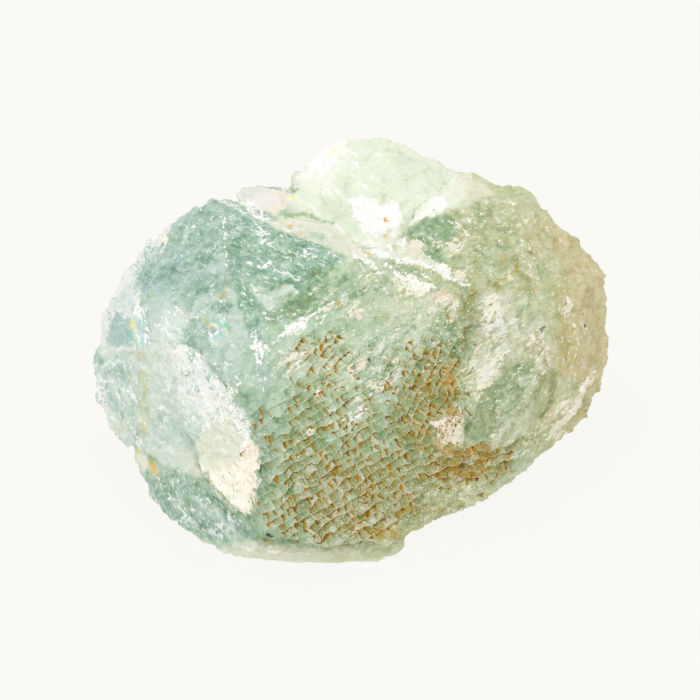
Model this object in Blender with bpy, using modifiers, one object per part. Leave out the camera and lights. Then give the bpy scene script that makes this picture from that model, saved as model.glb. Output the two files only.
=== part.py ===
"""A rough fluorite chunk: convex blocks grown together, stepped by cleavage, resting on a small flat spot."""

from math import cos, floor, radians, sin

import bmesh
import bpy
from mathutils import Vector, noise

MM = 0.001

# The corners of the visible side are measured in the picture plane of an eye that looks at the middle
# of the stone from 500 mm away and 30 degrees above level: millimetres to the right, up, and near,
# towards the eye. The hidden corners are measured on the stone as it rests: right, back, and up.
LOOK_DOWN = radians(30)
EYE_DISTANCE = 500
MIDDLE_HEIGHT = 19


def seen(right, up, near):
    """A corner of the visible side, as a point of the resting stone in millimetres."""
    scale = 1 - near / EYE_DISTANCE
    back = scale * up * sin(LOOK_DOWN) - near * cos(LOOK_DOWN)
    height = scale * up * cos(LOOK_DOWN) + near * sin(LOOK_DOWN) + MIDDLE_HEIGHT
    return Vector((scale * right, back, height))


def rest(right, back, height):
    """A hidden corner, as a point of the resting stone in millimetres."""
    return Vector((right, back, height))


BLOCKS = {
    "left block": [
        seen(-16.1, 17.5, 2), seen(-0.6, 10.6, 6), seen(-14.5, 8.5, 8.5), seen(-1.8, 5.6, 9.5),
        seen(-9.6, 0.6, 11.5), seen(-10.5, -5.9, 12.5), seen(-10.8, -15.2, 12.5), seen(-11.3, -21, 10),
        seen(-11, -24, 5.2), seen(-20.8, 13.8, 0), seen(-22.5, 11.5, -2), seen(-25.5, 5, -2),
        seen(-26.5, -4, -3), seen(-25, -11.7, -2), seen(-24.6, -14.4, -1), seen(-23.2, -17.8, 0),
        seen(-19.4, -21.6, 2.8), seen(-14.8, -24.3, 5.3), seen(-18.5, -17, 6), seen(-23.9, 6.4, 4),
        seen(-23.9, 0.6, 6), seen(-19.3, 0.6, 9), rest(-22, 16, 22), rest(-12, 14, 32),
        rest(-24, 14, 10), rest(-14, 18, 11), rest(-10, 18, 28), rest(-15, 8, 1.6), rest(-4, 12, 1.6),
    ],
    "left lobe": [
        seen(-30.1, -1.2, -6), seen(-29.6, -4.7, -5.5), seen(-28.3, -7.5, -4), seen(-27.7, -9.7, -4),
        seen(-25.8, -11, -2), seen(-28, 0.5, -4), seen(-23.5, 0.5, 3.5), seen(-23, -9.5, 2.5),
        rest(-28, 9, 17), rest(-27, 9, 12), rest(-26, 13, 18), rest(-22, 12, 16), rest(-22, 10, 24),
    ],
    "upper left rim": [
        seen(-23.4, 12.8, -3), seen(-26.2, 9, -4.5), seen(-28.8, 5, -5.5), seen(-29.4, 0.5, -6),
        seen(-21, 13, -1), seen(-24, 6, 1.5), seen(-24.5, 0, 2.5), rest(-20, 14, 22),
    ],
    "centre block": [
        seen(-0.6, 10.3, 6), seen(5.9, 10.5, 4.5), seen(11, 9, 2.5), seen(13.5, 6, 2),
        seen(-1.8, 5.6, 9.5), seen(-9.6, 0.6, 11.5), seen(-10.3, -5.9, 12.2), seen(-10.3, -15.2, 12.2),
        seen(-11, -21.5, 9.6), seen(-3, -22.8, 8.6), seen(5, -22.3, 7), seen(8, -20.6, 6),
        seen(12, -17.5, 4.8), seen(13.5, -11.7, 4.2), seen(13.5, -5.9, 3.8), seen(2, 0, 10),
        seen(3, -12, 10), rest(12, 10, 24), rest(14, 12, 8), rest(-10, 16, 26), rest(-12, 14, 4),
        rest(-9, -8, 0), rest(6, -9, 0), rest(9, 2, 0), rest(5, 13, 0), rest(-8, 13, 0), rest(-12, 2, 0),
    ],
    "right lobe": [
        seen(6.2, 14, -1), seen(10.5, 16, -2.5), seen(15.2, 17.2, -4), seen(19.9, 17.6, -5),
        seen(12.9, 20.7, -10), seen(17.6, 19.5, -10), seen(21.4, 17.9, -9), seen(24.8, 13.9, -7),
        seen(27.8, 10.9, -8), seen(29.7, 7.6, -8), seen(30, 4.7, -8), seen(30, -0.3, -8.5),
        seen(29.6, -4.2, -8), seen(28.1, -7.8, -7), seen(25.8, -9.9, -6), seen(22.5, -12.3, -3.5),
        seen(18.3, -15.5, -1), seen(15.2, -17.8, 1), seen(12.5, -19, 2.5), seen(18.5, 11, -0.5),
        seen(21.5, 4, 2.5), seen(21, -4, 4), seen(17, -11, 5), seen(14.5, 8, 0.5),
        seen(14.5, 0, 1.8), seen(14.5, -8, 2.8), seen(13, -14, 3.2), seen(26.5, 7, -2),
        seen(26.7, 0, -1.8), seen(25, -6, -0.8), seen(22, -10, 0.8), seen(18.5, -13, 2.6),
        rest(24, 18, 12), rest(20, 22, 27), rest(14, 24, 10), rest(12, 8, 1.8), rest(13, 12, 2.2),
    ],
    "saddle": [
        seen(0, 11, 3.6), seen(2.5, 12.2, 0), seen(6.5, 12.8, -1), seen(9, 11.5, -0.5),
        seen(13.6, 8.4, 0.5), seen(13.5, 6.5, 1.6), seen(10.5, 8.6, 2.4), seen(5, 9.6, 4),
        rest(2, 12, 16), rest(12, 12, 16), rest(6, 0, 18),
    ],
    "back lump": [
        seen(-7, 20.5, -10), seen(-3.5, 23.2, -12), seen(0.2, 24.6, -13.5), seen(2.3, 24.9, -14),
        seen(4.6, 24.8, -14.5), seen(8.6, 23.1, -15), seen(12.9, 20.9, -14), seen(-6, 14, -6),
        seen(-2, 12, -3), seen(3, 11, -2), seen(6.5, 13, -2.5), seen(9.5, 15.5, -5),
        seen(0, 18.5, -6), seen(6, 18, -6.5), rest(-10, 24, 20), rest(11, 27, 18),
        rest(-8, 25, 11), rest(7, 27, 8), rest(0, 10, 8),
    ],
    "ledge behind the left ridge": [
        seen(-8.5, 15.5, -5), seen(-1.8, 14.8, -5), seen(2.3, 11.7, -1), seen(-0.6, 10.3, 3),
        seen(-8, 13.5, -1), rest(-6, 12, 22), rest(2, 12, 22),
    ],
    "nub": [
        seen(-13.1, 18.1, -7), seen(-12.5, 18.8, -8), seen(-11.7, 19.2, -8.5), seen(-8.7, 19.1, -9),
        seen(-7, 19.1, -9), seen(-6.5, 15.5, -6), seen(-12.4, 16.5, -4), rest(-10, 14, 24),
    ],
    "frosted slab": [
        seen(-21.6, 0, 8), seen(-18.7, 0.3, 10.5), seen(-15, -4.7, 12.8), seen(-11.7, -10.3, 14.6),
        seen(-10.4, -12.2, 14.4), seen(-10.8, -17.5, 13.6), seen(-11.6, -19.3, 12.4),
        seen(-13.8, -18.5, 11.5), seen(-17.6, -15, 9.5), seen(-19, -9, 9.5), seen(-20, -4, 9),
        seen(-16, -2, 4), seen(-13, -12, 4),
    ],
    "heart": [
        rest(-20, 13, 8), rest(-12, 20, 10), rest(0, 25, 10), rest(16, 23, 10), rest(24, 15, 10),
        rest(-16, 16, 26), rest(-8, 22, 26), rest(8, 26, 27), rest(18, 23, 26), rest(-12, 10, 1.6),
        rest(12, 12, 1.6), rest(0, 15, 1.2),
    ],
    "back left shoulder": [
        rest(-26, 10, 12), rest(-24, 16, 18), rest(-16, 22, 14), rest(-12, 24, 20), rest(-18, 18, 26),
        rest(-8, 26, 14), rest(-14, 18, 5), rest(-20, 10, 4), rest(-10, 14, 27),
    ],
    "back right shoulder": [
        rest(27, 14, 16), rest(24, 22, 18), rest(16, 27, 16), rest(8, 28, 14), rest(20, 20, 26),
        rest(12, 26, 25), rest(18, 18, 5), rest(10, 18, 3),
    ],
    "bottom lip": [
        seen(-14.6, -23.8, 4.6), seen(-7.6, -24.1, 5.4), seen(-5.9, -25, 5.8), seen(3.5, -24.8, 5.6),
        seen(6.3, -23.4, 5.2), seen(6.2, -21.8, 5.6), seen(-12, -22, 6), rest(0, 4, 1.4), rest(0, -4, 8),
    ],
}

SURFACE_CELL = 0.27
TRIANGLES = 9200

# The flat spot: the relief fades out just above it, and the lowest skin is cut off level.
FLAT_SPOT_CUT = 0.15
QUIET_HEIGHT = 1.6

# The tiled front: rows of tilted scales, each lowest at its upper left corner, where it meets a pit.
# Each patch is an oval, (centre right, centre up, half width, half height), with its own rows.
TILE_PATCHES = [
    {"oval": (-2, -14, 11, 11), "angle": radians(32), "row": 1.5, "tile": 1.35},
    {"oval": (8.5, -5.5, 5, 8), "angle": radians(62), "row": 1.2, "tile": 1.3},
]
ROW_SHIFT = 0.43
ROW_WANDER = 0.35
ROW_RISE = 0.36
TILE_RISE = 0.3
SHALLOWEST_TILE = 0.6

# The share of an oval's size over which a patch fades out.
SOFT_EDGE = 0.3

# Cleavage plates, each at its own height and tilt, over broad lumps and under small chips. The side
# that is seen has its own named forms, so the plates there are lower by the clean share.
PLATES = [{"span": 7, "rise": 0.5, "tilt": 0.1}, {"span": 3, "rise": 0.24, "tilt": 0.1}]
CLEAN_SHARE = 0.45
LIFT_CHANCE = 7.3
TILT_CHANCE = 5.1
LUMP_HEIGHT = 0.35
LUMP_SPAN = 7
CHIP_HEIGHT = 0.1
CHIP_SPAN = 1.5

# The striated roof of the left block: steps that run down its ridge.
ROOF_ANGLE = radians(-26)
ROOF_OVAL = (-8.5, 9.5, 9.5, 6.5)
ROOF_STEP = 1.9
ROOF_RISE = 0.3
ROOF_WANDER = 0.6

STONE_COLOUR = (0.47, 0.6, 0.47, 1)
STONE_ROUGHNESS = 0.35


def clear_scene():
    for obj in list(bpy.data.objects):
        bpy.data.objects.remove(obj)


def new_collection(name):
    made = bpy.data.collections.new(name)
    bpy.context.scene.collection.children.link(made)
    return made


def block_object(name, corners, collection):
    """The convex block that these corners span."""
    shape = bmesh.new()
    for corner in corners:
        shape.verts.new(corner * MM)
    hull = bmesh.ops.convex_hull(shape, input=shape.verts)
    inner = [item for item in hull["geom_interior"] if isinstance(item, bmesh.types.BMVert)]
    bmesh.ops.delete(shape, geom=inner, context="VERTS")
    bmesh.ops.recalc_face_normals(shape, faces=shape.faces)
    mesh = bpy.data.meshes.new(name)
    shape.to_mesh(mesh)
    shape.free()
    obj = bpy.data.objects.new(name, mesh)
    collection.objects.link(obj)
    return obj


def fused_skin(blocks, collection):
    """One stone from all the blocks, with an even skin that the fine forms can be raised from."""
    core = bpy.data.objects.new("fused blocks", blocks[0].data.copy())
    collection.objects.link(core)
    for block in blocks[1:]:
        union = core.modifiers.new("fuse " + block.name, "BOOLEAN")
        union.operation = "UNION"
        union.object = block
    skin = core.modifiers.new("even skin", "REMESH")
    skin.mode = "VOXEL"
    skin.voxel_size = SURFACE_CELL * MM
    return baked(core)


def baked(obj):
    """The object's mesh with its modifiers applied, as new mesh data."""
    bpy.context.view_layer.update()
    graph = bpy.context.evaluated_depsgraph_get()
    return bpy.data.meshes.new_from_object(obj.evaluated_get(graph))


def picture_place(point):
    """Where a point of the resting stone is seen: (right, up) in the picture plane."""
    height = point.z - MIDDLE_HEIGHT
    near = height * sin(LOOK_DOWN) - point.y * cos(LOOK_DOWN)
    up = point.y * sin(LOOK_DOWN) + height * cos(LOOK_DOWN)
    scale = 1 - near / EYE_DISTANCE
    return point.x / scale, up / scale


def inside_oval(right, up, oval):
    """1 well inside the oval, 0 outside it, with a soft edge."""
    centre_right, centre_up, half_width, half_height = oval
    distance = ((right - centre_right) / half_width) ** 2 + ((up - centre_up) / half_height) ** 2
    return min(max((1 - distance) / SOFT_EDGE + 0.5, 0), 1)


def part_of_one(value):
    return value - floor(value)


def tile_height(right, up, patch):
    along = right * cos(patch["angle"]) + up * sin(patch["angle"])
    across = up * cos(patch["angle"]) - right * sin(patch["angle"])
    wander = noise.noise(Vector((right, up, 0)) / 4)
    row = across / patch["row"] + ROW_WANDER * wander
    tile = along / patch["tile"] + floor(row) * ROW_SHIFT
    chance = noise.cell(Vector((floor(row), floor(tile), 3)))
    depth = SHALLOWEST_TILE + (1 - SHALLOWEST_TILE) * chance
    return -depth * (ROW_RISE * part_of_one(row) + TILE_RISE * (1 - part_of_one(tile)))


def roof_height(right, up):
    across = up * cos(ROOF_ANGLE) - right * sin(ROOF_ANGLE)
    wander = noise.noise(Vector((right, up, 7)) / 5)
    return ROOF_RISE * (part_of_one(across / ROOF_STEP + ROOF_WANDER * wander) - 0.5)


def plate_height(point, plate):
    """The height of the cleavage plate that this point lies on: straight edges, flat and a little tilted."""
    place = point / plate["span"]
    middle = noise.voronoi(place)[1][0]
    lift = noise.cell(middle * LIFT_CHANCE)
    tilt = noise.cell_vector(middle * TILT_CHANCE) - Vector((0.5, 0.5, 0.5))
    return plate["rise"] * lift + plate["tilt"] * 2 * tilt.dot(place - middle) * plate["span"]


def relief(point, faces_eye):
    """How far the skin stands proud of the plain blocks at this point, in millimetres."""
    right, up = picture_place(point)
    height = LUMP_HEIGHT * noise.noise(point / LUMP_SPAN + Vector((5, 0, 9)))
    height += CHIP_HEIGHT * noise.noise(point / CHIP_SPAN)
    plates = sum(plate_height(point, plate) for plate in PLATES) * (1 - CLEAN_SHARE * faces_eye)
    plain = 1
    for patch in TILE_PATCHES:
        tiled = inside_oval(right, up, patch["oval"]) * faces_eye * plain
        height += tiled * tile_height(right, up, patch)
        plain -= tiled
    roofed = inside_oval(right, up, ROOF_OVAL) * faces_eye * plain
    height += roofed * roof_height(right, up) + (plain - roofed) * plates
    above_ground = min(max((point.z - FLAT_SPOT_CUT) / QUIET_HEIGHT, 0), 1)
    return height * above_ground


def raise_relief(mesh):
    eye = Vector((0, -cos(LOOK_DOWN), sin(LOOK_DOWN)))
    normals = [vertex.normal.copy() for vertex in mesh.vertices]
    for vertex, normal in zip(mesh.vertices, normals):
        point = vertex.co / MM
        faces_eye = min(max(normal.dot(eye) * 3, 0), 1)
        vertex.co += normal * relief(point, faces_eye) * MM


def stone_material():
    material = bpy.data.materials.new("fluorite")
    material.use_nodes = True
    surface = material.node_tree.nodes["Principled BSDF"]
    surface.inputs["Base Color"].default_value = STONE_COLOUR
    surface.inputs["Roughness"].default_value = STONE_ROUGHNESS
    surface.inputs["Metallic"].default_value = 0
    return material


def thin_out(stone):
    """Fewer triangles, which leaves flat cleavage faces and the ledges between them."""
    corners = sum(len(face.vertices) - 2 for face in stone.data.polygons)
    fewer = stone.modifiers.new("flat faces", "DECIMATE")
    fewer.decimate_type = "COLLAPSE"
    fewer.ratio = TRIANGLES / corners


def cut_flat_spot(mesh):
    """Cuts the lowest part of the stone off level, which leaves the flat spot that it rests on."""
    shape = bmesh.new()
    shape.from_mesh(mesh)
    everything = shape.verts[:] + shape.edges[:] + shape.faces[:]
    level = Vector((0, 0, FLAT_SPOT_CUT * MM))
    bmesh.ops.bisect_plane(
        shape, geom=everything, plane_co=level, plane_no=(0, 0, 1), clear_inner=True
    )
    rim = [edge for edge in shape.edges if edge.is_boundary]
    bmesh.ops.holes_fill(shape, edges=rim)
    bmesh.ops.triangulate(shape, faces=shape.faces)
    bmesh.ops.recalc_face_normals(shape, faces=shape.faces)
    shape.to_mesh(mesh)
    shape.free()


def centre_on_ground(stone):
    """Puts the origin at the middle of the stone's box, on the surface that it rests on."""
    sides = [[vertex.co[axis] for vertex in stone.data.vertices] for axis in range(3)]
    middle = [(min(side) + max(side)) / 2 for side in sides]
    stone.location = (-middle[0], -middle[1], -min(sides[2]))


def main():
    clear_scene()
    stone_collection = new_collection("fluorite")
    cutter_collection = new_collection("cutters")
    blocks = [block_object(name, corners, cutter_collection) for name, corners in BLOCKS.items()]
    skin = fused_skin(blocks, cutter_collection)
    raise_relief(skin)
    stone = bpy.data.objects.new("fluorite", skin)
    stone_collection.objects.link(stone)
    thin_out(stone)
    stone.data = baked(stone)
    stone.modifiers.clear()
    cut_flat_spot(stone.data)
    centre_on_ground(stone)
    stone.data.materials.clear()
    stone.data.materials.append(stone_material())
    for helper in cutter_collection.objects:
        helper.hide_render = True
        helper.display_type = "WIRE"


main()
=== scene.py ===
"""The rough fluorite as it is seen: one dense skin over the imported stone, with its own relief, colours and frost."""

import random
from math import cos, floor, pi, radians, sin

import bmesh
import bpy
import numpy as np
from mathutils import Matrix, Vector, noise


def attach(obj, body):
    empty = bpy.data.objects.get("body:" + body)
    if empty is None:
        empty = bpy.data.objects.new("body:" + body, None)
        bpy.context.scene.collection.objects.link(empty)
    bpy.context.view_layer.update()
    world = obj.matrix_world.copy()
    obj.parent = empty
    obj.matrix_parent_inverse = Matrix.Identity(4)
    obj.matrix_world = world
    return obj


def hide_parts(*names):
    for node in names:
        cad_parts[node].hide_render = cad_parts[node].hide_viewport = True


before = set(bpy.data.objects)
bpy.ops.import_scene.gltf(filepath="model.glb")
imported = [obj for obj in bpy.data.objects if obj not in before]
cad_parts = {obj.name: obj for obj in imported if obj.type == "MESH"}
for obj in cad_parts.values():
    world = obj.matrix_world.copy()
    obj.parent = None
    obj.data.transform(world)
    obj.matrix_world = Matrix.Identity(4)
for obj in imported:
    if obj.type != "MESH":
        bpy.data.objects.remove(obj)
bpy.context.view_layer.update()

MM = 0.001

# The eye looks at the middle of the stone from 500 mm away and 30 degrees above level. Corners of the
# visible side are measured in its picture plane, in millimetres right, up and near; marks are measured
# in the 700 pixel picture, PIXEL millimetres each.
LOOK_DOWN = radians(30)
EYE_DISTANCE = 500
MIDDLE_HEIGHT = 19
PIXEL = 0.117
PICTURE_MIDDLE = 350

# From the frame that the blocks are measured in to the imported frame.
TO_FRAME = Vector((-0.208, -4.114, -0.15))


def seen(right, up, near):
    """A corner of the visible side, as a point of the resting stone in millimetres."""
    scale = 1 - near / EYE_DISTANCE
    back = scale * up * sin(LOOK_DOWN) - near * cos(LOOK_DOWN)
    height = scale * up * cos(LOOK_DOWN) + near * sin(LOOK_DOWN) + MIDDLE_HEIGHT
    return Vector((scale * right, back, height))


def rest(right, back, height):
    """A hidden corner, as a point of the resting stone in millimetres."""
    return Vector((right, back, height))


BLOCKS = {
    "left block": [
        seen(-16.8, 17.2, 2), seen(-19.7, 15.8, 1), seen(-21.4, 14.2, 0), seen(-13.9, 16, 2.6),
        seen(-0.6, 10.6, 6), seen(-14.5, 8.5, 8.5), seen(-1.8, 5.6, 9.5),
        seen(-9.6, 0.6, 11.5), seen(-10.5, -5.9, 12.5), seen(-10.8, -15.2, 12.5), seen(-11.3, -21, 10),
        seen(-11, -24.1, 5.2), seen(-20.8, 13.8, 0), seen(-22.5, 11.5, -2), seen(-25.5, 5, -2),
        seen(-26.5, -4, -3), seen(-25.1, -11.7, -2), seen(-24.8, -14.4, -1), seen(-22.7, -17.5, 0),
        seen(-19.2, -21.2, 2.8), seen(-14.8, -24.2, 5.3), seen(-18.5, -17, 6), seen(-23.9, 6.4, 4),
        seen(-23.9, 0.6, 6), seen(-19.3, 0.6, 9), rest(-22, 16, 22), rest(-12, 14, 31),
        rest(-24, 14, 10), rest(-14, 18, 11), rest(-10, 18, 28), rest(-15, 8, 1.6), rest(-4, 12, 1.6),
    ],
    "left lobe": [
        seen(-30.3, -0.4, -6), seen(-30.1, -1.6, -6), seen(-29.6, -4.7, -5.5), seen(-27.5, -7.3, -4), seen(-27.8, -9.9, -4),
        seen(-26.2, -11.5, -2), seen(-28, 0.5, -4), seen(-23.5, 0.5, 3.5), seen(-23, -9.5, 2.5),
        rest(-28, 9, 17), rest(-27, 9, 12), rest(-26, 13, 18), rest(-22, 12, 16), rest(-22, 10, 24),
    ],
    "upper left rim": [
        seen(-23.4, 12.8, -3), seen(-26.5, 9.1, -4.5), seen(-28.7, 5, -5.5), seen(-29.6, 0.7, -6),
        seen(-21, 13, -1), seen(-24, 6, 1.5), seen(-24.5, 0, 2.5), rest(-20, 14, 22),
    ],
    "centre block": [
        seen(-0.6, 10.3, 6), seen(5.9, 10.5, 4.5), seen(11, 9, 2.5), seen(13.5, 6, 2),
        seen(-1.8, 5.6, 9.5), seen(-9.6, 0.6, 11.5), seen(-10.3, -5.9, 12.2), seen(-10.3, -15.2, 12.2),
        seen(-11, -21.5, 9.6), seen(-3, -22.8, 8.6), seen(5, -22.3, 7), seen(7.4, -20.4, 6),
        seen(11.7, -18.2, 4.8), seen(9.8, -19.4, 5.4), seen(13.5, -11.7, 4.2), seen(13.5, -5.9, 3.8), seen(2, 0, 10),
        seen(3, -12, 10), rest(12, 10, 24), rest(14, 12, 8), rest(-10, 16, 26), rest(-12, 14, 4),
        rest(-9, -8, 0), rest(6, -9, 0), rest(9, 2, 0), rest(5, 13, 0), rest(-8, 13, 0), rest(-12, 2, 0),
    ],
    "right lobe": [
        seen(6.2, 14, -1), seen(10.5, 16, -2.5), seen(15.2, 17.4, -4), seen(19.8, 17.4, -5),
        seen(12.9, 20.8, -10), seen(17.5, 19.4, -10), seen(21.4, 17.6, -9), seen(24.9, 14.1, -7),
        seen(28.2, 11, -8), seen(30, 8.6, -8), seen(30, 4.7, -8), seen(30.2, -1, -8.5),
        seen(29.4, -4, -8), seen(27.9, -7.8, -7), seen(25.8, -9.9, -6), seen(22.5, -12.3, -3.5),
        seen(17.9, -15.1, -1), seen(15.4, -18, 1), seen(12.5, -19, 2.5), seen(18.5, 11, -0.5),
        seen(21.5, 4, 2.5), seen(21, -4, 4), seen(17, -11, 5), seen(14.5, 8, 0.5),
        seen(14.5, 0, 1.8), seen(14.5, -8, 2.8), seen(13, -14, 3.2), seen(26.5, 7, -2),
        seen(26.7, 0, -1.8), seen(25, -6, -0.8), seen(22, -10, 0.8), seen(18.5, -13, 2.6),
        rest(24, 18, 12), rest(20, 22, 27), rest(14, 24, 10), rest(12, 8, 1.8), rest(13, 12, 2.2),
    ],
    "saddle": [
        seen(0, 11, 3.6), seen(2.5, 12.2, 0), seen(6.5, 12.8, -1), seen(9, 11.5, -0.5),
        seen(13.6, 8.4, 0.5), seen(13.5, 6.5, 1.6), seen(10.5, 8.6, 2.4), seen(5, 9.6, 4),
        rest(2, 12, 16), rest(12, 12, 16), rest(6, 0, 18),
    ],
    "back lump": [
        seen(-7, 20.5, -10), seen(-3.5, 23.2, -12), seen(0.2, 24.6, -13.5), seen(2.3, 24.9, -14),
        seen(4.6, 24.8, -14.5), seen(8.4, 22.5, -15), seen(12.9, 20.8, -14), seen(-6, 14, -6),
        seen(-2, 12, -3), seen(3, 11, -2), seen(6.5, 13, -2.5), seen(9.5, 15.5, -5),
        seen(0, 18.5, -6), seen(6, 18, -6.5), rest(-10, 24, 20), rest(11, 27, 18),
        rest(-8, 25, 11), rest(7, 27, 8), rest(0, 10, 8),
    ],
    "ledge behind the left ridge": [
        seen(-8.5, 15.5, -5), seen(-1.8, 14.8, -5), seen(2.3, 11.7, -1), seen(-0.6, 10.3, 3),
        seen(-8, 13.5, -1), rest(-6, 12, 22), rest(2, 12, 22),
    ],
    "nub": [
        seen(-13.1, 18.1, -7), seen(-12.5, 18.8, -8), seen(-11.7, 19.5, -8.5), seen(-8.7, 19.4, -9),
        seen(-6.8, 19.3, -9), seen(-4.5, 18.8, -9.5), seen(-4.5, 15, -6), seen(-12.4, 16.5, -4), seen(-10.5, 15.6, -3.5),
        seen(-7.5, 14.6, -4), rest(-10, 14, 24),
    ],
    "frosted slab": [
        seen(-21.6, 0, 8), seen(-18.7, 0.3, 10.5), seen(-15, -4.7, 12.8), seen(-11.7, -10.3, 14.6),
        seen(-10.4, -12.2, 14.4), seen(-10.8, -17.5, 13.6), seen(-11.6, -19.3, 12.4),
        seen(-13.8, -18.5, 11.5), seen(-17.6, -15, 9.5), seen(-19, -9, 9.5), seen(-20, -4, 9),
        seen(-16, -2, 4), seen(-13, -12, 4),
    ],
    "heart": [
        rest(-20, 13, 8), rest(-12, 20, 10), rest(0, 25, 10), rest(16, 23, 10), rest(24, 15, 10),
        rest(-16, 16, 26), rest(-8, 22, 26), rest(8, 26, 27), rest(18, 23, 26), rest(-12, 10, 1.6),
        rest(12, 12, 1.6), rest(0, 15, 1.2),
    ],
    "back left shoulder": [
        rest(-26, 10, 12), rest(-24, 16, 18), rest(-16, 22, 14), rest(-12, 24, 20), rest(-18, 18, 26),
        rest(-8, 26, 14), rest(-14, 18, 5), rest(-20, 10, 4), rest(-10, 14, 27), rest(-28.5, 8, 15),
        rest(-28, 9, 10), rest(-27, 12, 13), rest(-25, 15, 10), rest(-25, 12, 6), rest(-27, 13, 17), rest(-20, 18, 22),
    ],
    "back right shoulder": [
        rest(27, 14, 16), rest(24, 22, 18), rest(16, 27, 16), rest(8, 28, 14), rest(20, 20, 26),
        rest(12, 26, 25), rest(18, 18, 5), rest(10, 18, 3),
    ],
    "foot of the valley": [
        seen(9.7, -19.9, 5.4), seen(12.2, -19, 4.4), seen(14.8, -18.4, 3.2), seen(16.8, -16.7, 1.6),
        seen(13.4, -12, 3.4), seen(10, -13, 5),
        rest(10, 2, 2), rest(13, 6, 3), rest(10, 4, 10),
    ],
    "behind the gap": [
        seen(6.5, 13, -5), seen(9.8, 15.6, -6), seen(12.3, 19.6, -10.5), seen(11, 19.6, -12.5),
        seen(14.5, 19.4, -13), seen(13, 19.3, -17), seen(9, 19.3, -17), rest(9, 27, 17), rest(15, 26, 17),
        rest(10, 22, 12), rest(16, 22, 12),
    ],
    "bottom lip": [
        seen(-14, -24.3, 4.6), seen(-7.6, -24.1, 5.4), seen(-5.9, -25, 5.8), seen(3.5, -24.8, 5.6),
        seen(5.8, -23.4, 5.2), seen(6.5, -21.6, 5.6), seen(-12, -22, 6), rest(0, 4, 1.4), rest(0, -4, 8),
    ],
}


SKIN_CELL = 0.2
SKIN_TRIANGLES = 196000
FLAT_SPOT_CUT = 0.15
QUIET_HEIGHT = 1.6

# The tiled front: rows of tilted scales, each lowest at its upper left corner, where it meets a pit.
TILE_PATCHES = [
    {"oval": (-2, -12.8, 11, 10), "angle": radians(33), "row": 0.98, "tile": 0.95},
    {"oval": (9.2, -5.5, 5.6, 8), "angle": radians(62), "row": 0.95, "tile": 0.95},
    {"oval": (-3.3, -2.8, 4, 5), "angle": radians(48), "row": 1.0, "tile": 1.1},
    {"oval": (14.8, -13.8, 6.5, 3.2), "angle": radians(14), "row": 0.95, "tile": 1.1},
]
ROW_SHIFT = 0.43
ROW_WANDER = 0.35
ROW_RISE = 0.2
TILE_RISE = 0.16
FINE_WANDER = 0.3
FINE_WANDER_SPAN = 1.3
SHALLOWEST_TILE = 0.6
SOFT_EDGE = 0.3

# Cleavage plates over broad lumps and under small chips, and the stepped roof of the left block.
PLATES = [{"span": 7, "rise": 0.5, "tilt": 0.1}, {"span": 3, "rise": 0.24, "tilt": 0.1}]
SHARDS = [{"span": 2.3, "rise": 0.08, "tilt": 0.15}, {"span": 1.1, "rise": 0.04, "tilt": 0.15}]
PLATE_EDGE = 0.12
PLATE_SINK = 0.15
CLEAN_SHARE = 0.8
LIFT_CHANCE = 7.3
TILT_CHANCE = 5.1
LUMP_HEIGHT = 0.35
LUMP_SPAN = 7
CHIP_HEIGHT = 0.16
CHIP_SPAN = 1.5
ROOF_ANGLE = radians(-26)
ROOF_OVAL = (-8.5, 9.5, 9.5, 6.5)
ROOF_STEP = 1.9
ROOF_RISE = 0.3
ROOF_WANDER = 0.6


def block_mesh(corners):
    """The convex block that these corners span."""
    shape = bmesh.new()
    for corner in corners:
        shape.verts.new(corner * MM)
    hull = bmesh.ops.convex_hull(shape, input=shape.verts)
    inner = [item for item in hull["geom_interior"] if isinstance(item, bmesh.types.BMVert)]
    bmesh.ops.delete(shape, geom=inner, context="VERTS")
    bmesh.ops.recalc_face_normals(shape, faces=shape.faces)
    mesh = bpy.data.meshes.new("block")
    shape.to_mesh(mesh)
    shape.free()
    return mesh


def baked(obj):
    """The object's mesh with its modifiers applied, as new mesh data."""
    bpy.context.view_layer.update()
    graph = bpy.context.evaluated_depsgraph_get()
    return bpy.data.meshes.new_from_object(obj.evaluated_get(graph))


def fused_skin():
    """One stone from all the blocks, with an even skin."""
    blocks = [bpy.data.objects.new("block", block_mesh(corners)) for corners in BLOCKS.values()]
    for block in blocks:
        bpy.context.scene.collection.objects.link(block)
    core = blocks[0]
    for block in blocks[1:]:
        union = core.modifiers.new("fuse", "BOOLEAN")
        union.operation = "UNION"
        union.object = block
    skin = core.modifiers.new("even skin", "REMESH")
    skin.mode = "VOXEL"
    skin.voxel_size = SKIN_CELL * MM
    mesh = baked(core)
    for block in blocks:
        bpy.data.objects.remove(block)
    return mesh


def picture_place(point):
    """Where a point of the stone is seen: (right, up) in the picture plane, in millimetres."""
    height = point.z - MIDDLE_HEIGHT
    near = height * sin(LOOK_DOWN) - point.y * cos(LOOK_DOWN)
    up = point.y * sin(LOOK_DOWN) + height * cos(LOOK_DOWN)
    scale = 1 - near / EYE_DISTANCE
    return point.x / scale, up / scale


def inside_oval(right, up, oval):
    """1 well inside the oval, 0 outside it, with a soft edge."""
    centre_right, centre_up, half_width, half_height = oval
    distance = ((right - centre_right) / half_width) ** 2 + ((up - centre_up) / half_height) ** 2
    return min(max((1 - distance) / SOFT_EDGE + 0.5, 0), 1)


def part_of_one(value):
    return value - floor(value)


def tile_place(right, up, patch):
    """(row, tile) of the lattice of this patch: whole numbers at the edges of the tiles."""
    along = right * cos(patch["angle"]) + up * sin(patch["angle"])
    across = up * cos(patch["angle"]) - right * sin(patch["angle"])
    wander = noise.noise(Vector((right, up, 0)) / 4)
    fine = noise.noise_vector(Vector((right, up, 5)) / FINE_WANDER_SPAN) * FINE_WANDER
    row = across / patch["row"] + ROW_WANDER * wander + fine.x
    return row, along / patch["tile"] + fine.y + floor(row) * ROW_SHIFT


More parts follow.
